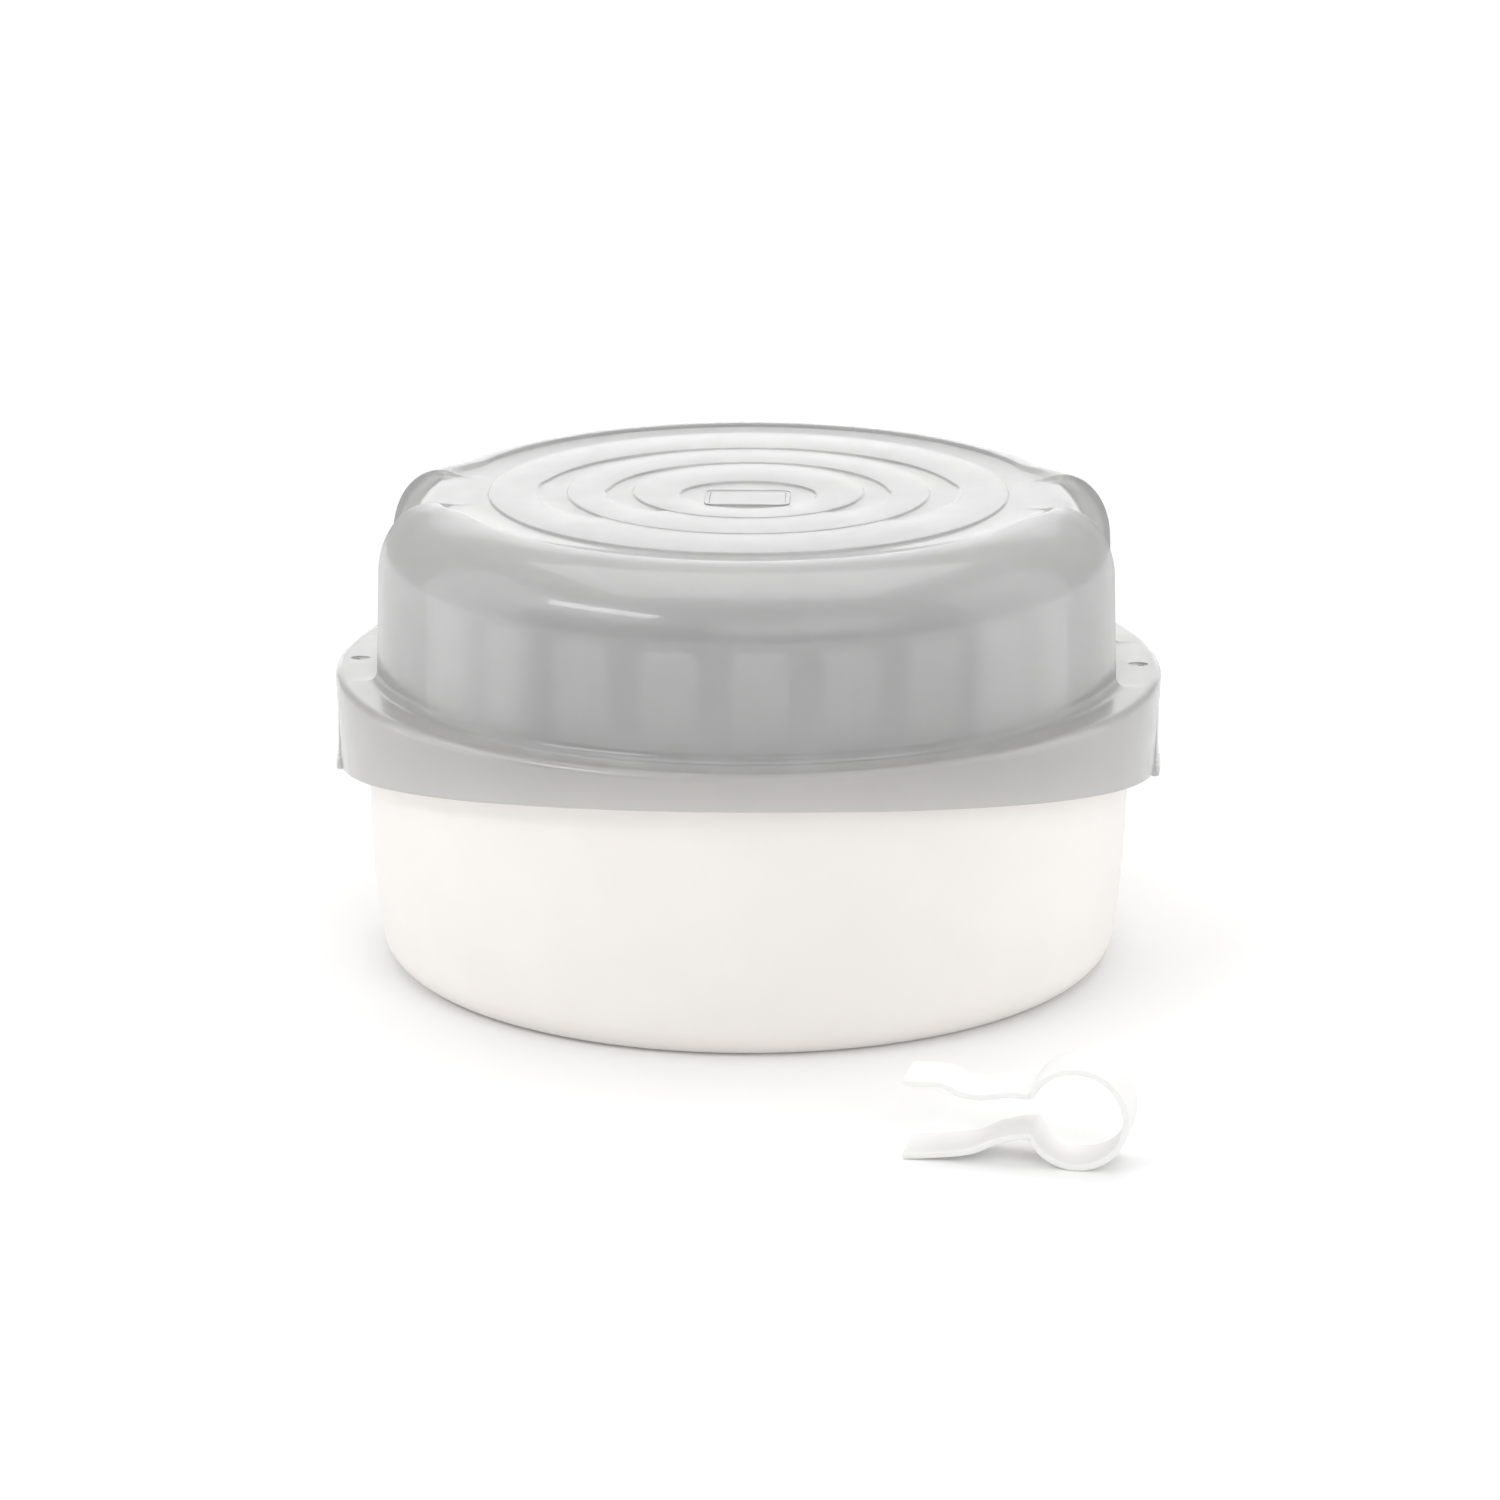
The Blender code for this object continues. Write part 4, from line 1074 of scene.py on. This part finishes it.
def make_fence(material):
    """Staves, hoop, pegs and feet of the rack."""
    mesh_data = bmesh.new()
    for i in range(STAVES):
        add_stave(mesh_data, 2.0 * pi * i / STAVES)
    add_hoop(mesh_data, *HOOP, HOOP_THICKNESS)
    peg = [(FLOOR_TOP + height, radius) for height, radius in PEG_ROOT]
    peg += [(PEG_TOP - PEG_TIP_R, PEG_TIP_R)]
    tip = arc((0.0, PEG_TOP - PEG_TIP_R), (PEG_TIP_R, PEG_TIP_R), 10.0, 82.0, steps=8)
    peg += [(z, r) for r, z in tip]
    add_posts(mesh_data, PEGS, PEG_RING_R, peg)
    add_posts(mesh_data, FEET, FOOT_RING_R, FOOT_SECTIONS)
    fence = new_piece("rack_fence", mesh_data, material, "rack")
    fence.data.transform(Matrix.Rotation(radians(RACK_TURN_DEG), 4, "Z"))
    shade_smooth(fence)


# Tongs


def curve_through(points, steps):
    """Smooth curve through points (Catmull-Rom)."""
    ends = [points[0], *points, points[-1]]
    curve = []
    for i in range(1, len(ends) - 2):
        p0, p1, p2, p3 = (Vector(ends[i + k]) for k in (-1, 0, 1, 2))
        for k in range(steps):
            t = k / steps
            curve.append(
                0.5
                * (2.0 * p1 + (p2 - p0) * t + (2.0 * p0 - 5.0 * p1 + 4.0 * p2 - p3) * t**2)
                + 0.5 * (3.0 * p1 - p0 - 3.0 * p2 + p3) * t**3
            )
    curve.append(Vector(points[-1]))
    return [tuple(point) for point in curve]


def tongs_middle():
    """Middle line of the whole strip, from the lower tip round the bow to the upper tip."""
    neck_deg = degrees(asin(NECK_HEIGHT / BOW_R))
    bow = arc(BOW_CENTRE, (BOW_R, BOW_R), neck_deg - 180.0, 180.0 - neck_deg, steps=60)
    lower = curve_through([*LOWER_ARM, bow[1]], steps=8)
    upper = curve_through([bow[-2], *reversed(UPPER_ARM)], steps=8)
    return [*lower, *bow[2:-2], *upper]


def strip_ring(point, normal, thickness, width, edge):
    """Rounded cross-section of the strip, as (length, across, height)."""
    half = thickness / 2.0
    section = []
    for centre_across, centre_out, start in (
        (width - edge, half - edge, 90.0),
        (width - edge, -half + edge, 0.0),
        (edge, -half + edge, -90.0),
        (edge, half - edge, -180.0),
    ):
        for i in range(5):
            turn = radians(start - 90.0 * i / 4)
            section.append((centre_across + edge * cos(turn), centre_out + edge * sin(turn)))
    ring = []
    for across, out in section:
        ring.append(Vector((point[0] + normal[0] * out, across, point[1] + normal[1] * out)))
    return ring


def make_tongs(material):
    """The tongs as the one bent strip they are."""
    placed = Matrix.Translation((TONGS_TIP[0], TONGS_TIP[1], 0.0))
    placed = placed @ Matrix.Rotation(radians(TONGS_TURN_DEG), 4, "Z")
    middle = tongs_middle()
    rings = []
    last = len(middle) - 1
    for i, point in enumerate(middle):
        before = Vector(middle[max(0, i - 1)])
        after = Vector(middle[min(last, i + 1)])
        along = (after - before).normalized()
        ring = strip_ring(point, (-along[1], along[0]), TONGS_THICKNESS, TONGS_WIDTH, TONGS_EDGE_R)
        rings.append([placed @ corner for corner in ring])
    mesh_data = bmesh.new()
    loft_rings(mesh_data, rings)
    tongs = plain_object("tongs_strip", mesh_data)
    tongs.data.materials.append(material)
    shade_smooth(tongs)
    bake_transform(tongs)
    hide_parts("tongs_lower", "tongs_upper")


# Studio


def aim(item, target):
    """Point an object's -Z axis at a target."""
    item.rotation_euler = (Vector(target) - item.location).to_track_quat("-Z", "Y").to_euler()


def add_softbox(name, place, target, size, power):
    """Add a rectangular area light, in metres and watts."""
    light = bpy.data.lights.new(name, "AREA")
    light.shape = "RECTANGLE"
    light.size = size[0]
    light.size_y = size[1]
    light.energy = power
    item = bpy.data.objects.new(name, light)
    item.location = place
    aim(item, target)
    bpy.context.scene.collection.objects.link(item)
    return item


def make_world():
    """White for the camera; for light and reflections a room that brightens towards the back."""
    world = bpy.data.worlds.new("studio")
    bpy.context.scene.world = world
    world.use_nodes = True
    tree = world.node_tree
    tree.nodes.clear()
    place = add_node(tree, "ShaderNodeTexCoord")
    split = add_node(tree, "ShaderNodeSeparateXYZ")
    tree.links.new(place.outputs["Generated"], split.inputs[0])
    ramp = add_node(tree, "ShaderNodeValToRGB")
    span = add_node(tree, "ShaderNodeMapRange", {"From Min": -1.0})
    tree.links.new(split.outputs["Y"], span.inputs["Value"])
    tree.links.new(span.outputs["Result"], ramp.inputs["Fac"])
    stops = ramp.color_ramp.elements
    for stop, (share, level) in zip([stops[0], stops.new(0.5), stops[1]], ROOM_LEVELS):
        stop.position = share
        stop.color = (level, level, level, 1.0)
    room = add_node(tree, "ShaderNodeBackground")
    tree.links.new(ramp.outputs["Color"], room.inputs["Color"])
    white = add_node(tree, "ShaderNodeBackground", {"Color": (1.0, 1.0, 1.0, 1.0)})
    path = add_node(tree, "ShaderNodeLightPath")
    mix = add_node(tree, "ShaderNodeMixShader")
    tree.links.new(path.outputs["Is Camera Ray"], mix.inputs["Fac"])
    tree.links.new(room.outputs[0], mix.inputs[1])
    tree.links.new(white.outputs[0], mix.inputs[2])
    output = add_node(tree, "ShaderNodeOutputWorld")
    tree.links.new(mix.outputs[0], output.inputs["Surface"])


def make_floor():
    """Plain white floor, with a slight glow that grows away from the object."""
    mesh_data = bmesh.new()
    bmesh.ops.create_circle(mesh_data, cap_ends=True, radius=FLOOR_R, segments=96)
    floor = plain_object("floor", mesh_data)
    material = bpy.data.materials.new("floor_white")
    material.use_nodes = True
    tree = material.node_tree
    shader = tree.nodes["Principled BSDF"]
    set_inputs(shader, FLOOR_SHADER)
    place = add_node(tree, "ShaderNodeTexCoord")
    distance = add_node(tree, "ShaderNodeVectorMath", operation="LENGTH")
    tree.links.new(place.outputs["Object"], distance.inputs[0])
    near, far = FLOOR_GLOW_REACH
    ends = {"From Min": near, "From Max": far, "To Min": FLOOR_GLOW[0], "To Max": FLOOR_GLOW[1]}
    glow = add_node(tree, "ShaderNodeMapRange", ends, interpolation_type="SMOOTHSTEP")
    tree.links.new(distance.outputs["Value"], glow.inputs["Value"])
    tree.links.new(glow.outputs["Result"], shader.inputs["Emission Strength"])
    floor.data.materials.append(material)


def keep_off_floor(panels):
    """Let panels light only the object, so that their edges don't show on the floor."""
    receivers = bpy.data.collections.new("lit_by_cards")
    for item in bpy.context.scene.objects:
        if item.type == "MESH" and item.name != "floor":
            receivers.objects.link(item)
    for panel in panels:
        panel.light_linking.receiver_collection = receivers


def make_lights():
    """Softboxes that the camera doesn't see. The front fill leaves no highlight."""
    panels = {name: add_softbox(name, *settings) for name, settings in LIGHTS.items()}
    for panel in panels.values():
        panel.visible_camera = False
    panels["front_fill"].visible_glossy = False
    keep_off_floor([panels[name] for name in OFF_FLOOR])


def make_camera():
    """Camera at the photographed angle."""
    camera = bpy.data.cameras.new("camera")
    camera.sensor_width = 36.0
    camera.lens = CAMERA_LENS
    item = bpy.data.objects.new("camera", camera)
    azimuth = radians(CAMERA_AZIMUTH_DEG)
    elevation = radians(CAMERA_ELEVATION_DEG)
    target = Vector(CAMERA_TARGET) * MM
    away = Vector((sin(azimuth) * cos(elevation), -cos(azimuth) * cos(elevation), sin(elevation)))
    item.location = target + away * CAMERA_DISTANCE * MM
    aim(item, target)
    bpy.context.scene.collection.objects.link(item)
    bpy.context.scene.camera = item


def make_object():
    """Every piece of the steriliser and its tongs."""
    rack_plastic = opaque_plastic("rack_plastic", **RACK_FINISH)
    latch_plastic = translucent_plastic("latch_plastic", **LATCH_FINISH)
    make_bowl(opaque_plastic("bowl_plastic", **BOWL_FINISH))
    make_tub(rack_plastic)
    make_fence(rack_plastic)
    make_lid(translucent_plastic("lid_plastic", **LID_FINISH))
    make_latch("latch_left", -1.0, latch_plastic)
    make_latch("latch_right", 1.0, latch_plastic)
    make_tongs(opaque_plastic("tongs_plastic", **TONGS_FINISH))


bpy.context.scene.view_settings.view_transform = "Standard"
make_object()
make_world()
make_floor()
make_lights()
make_camera()
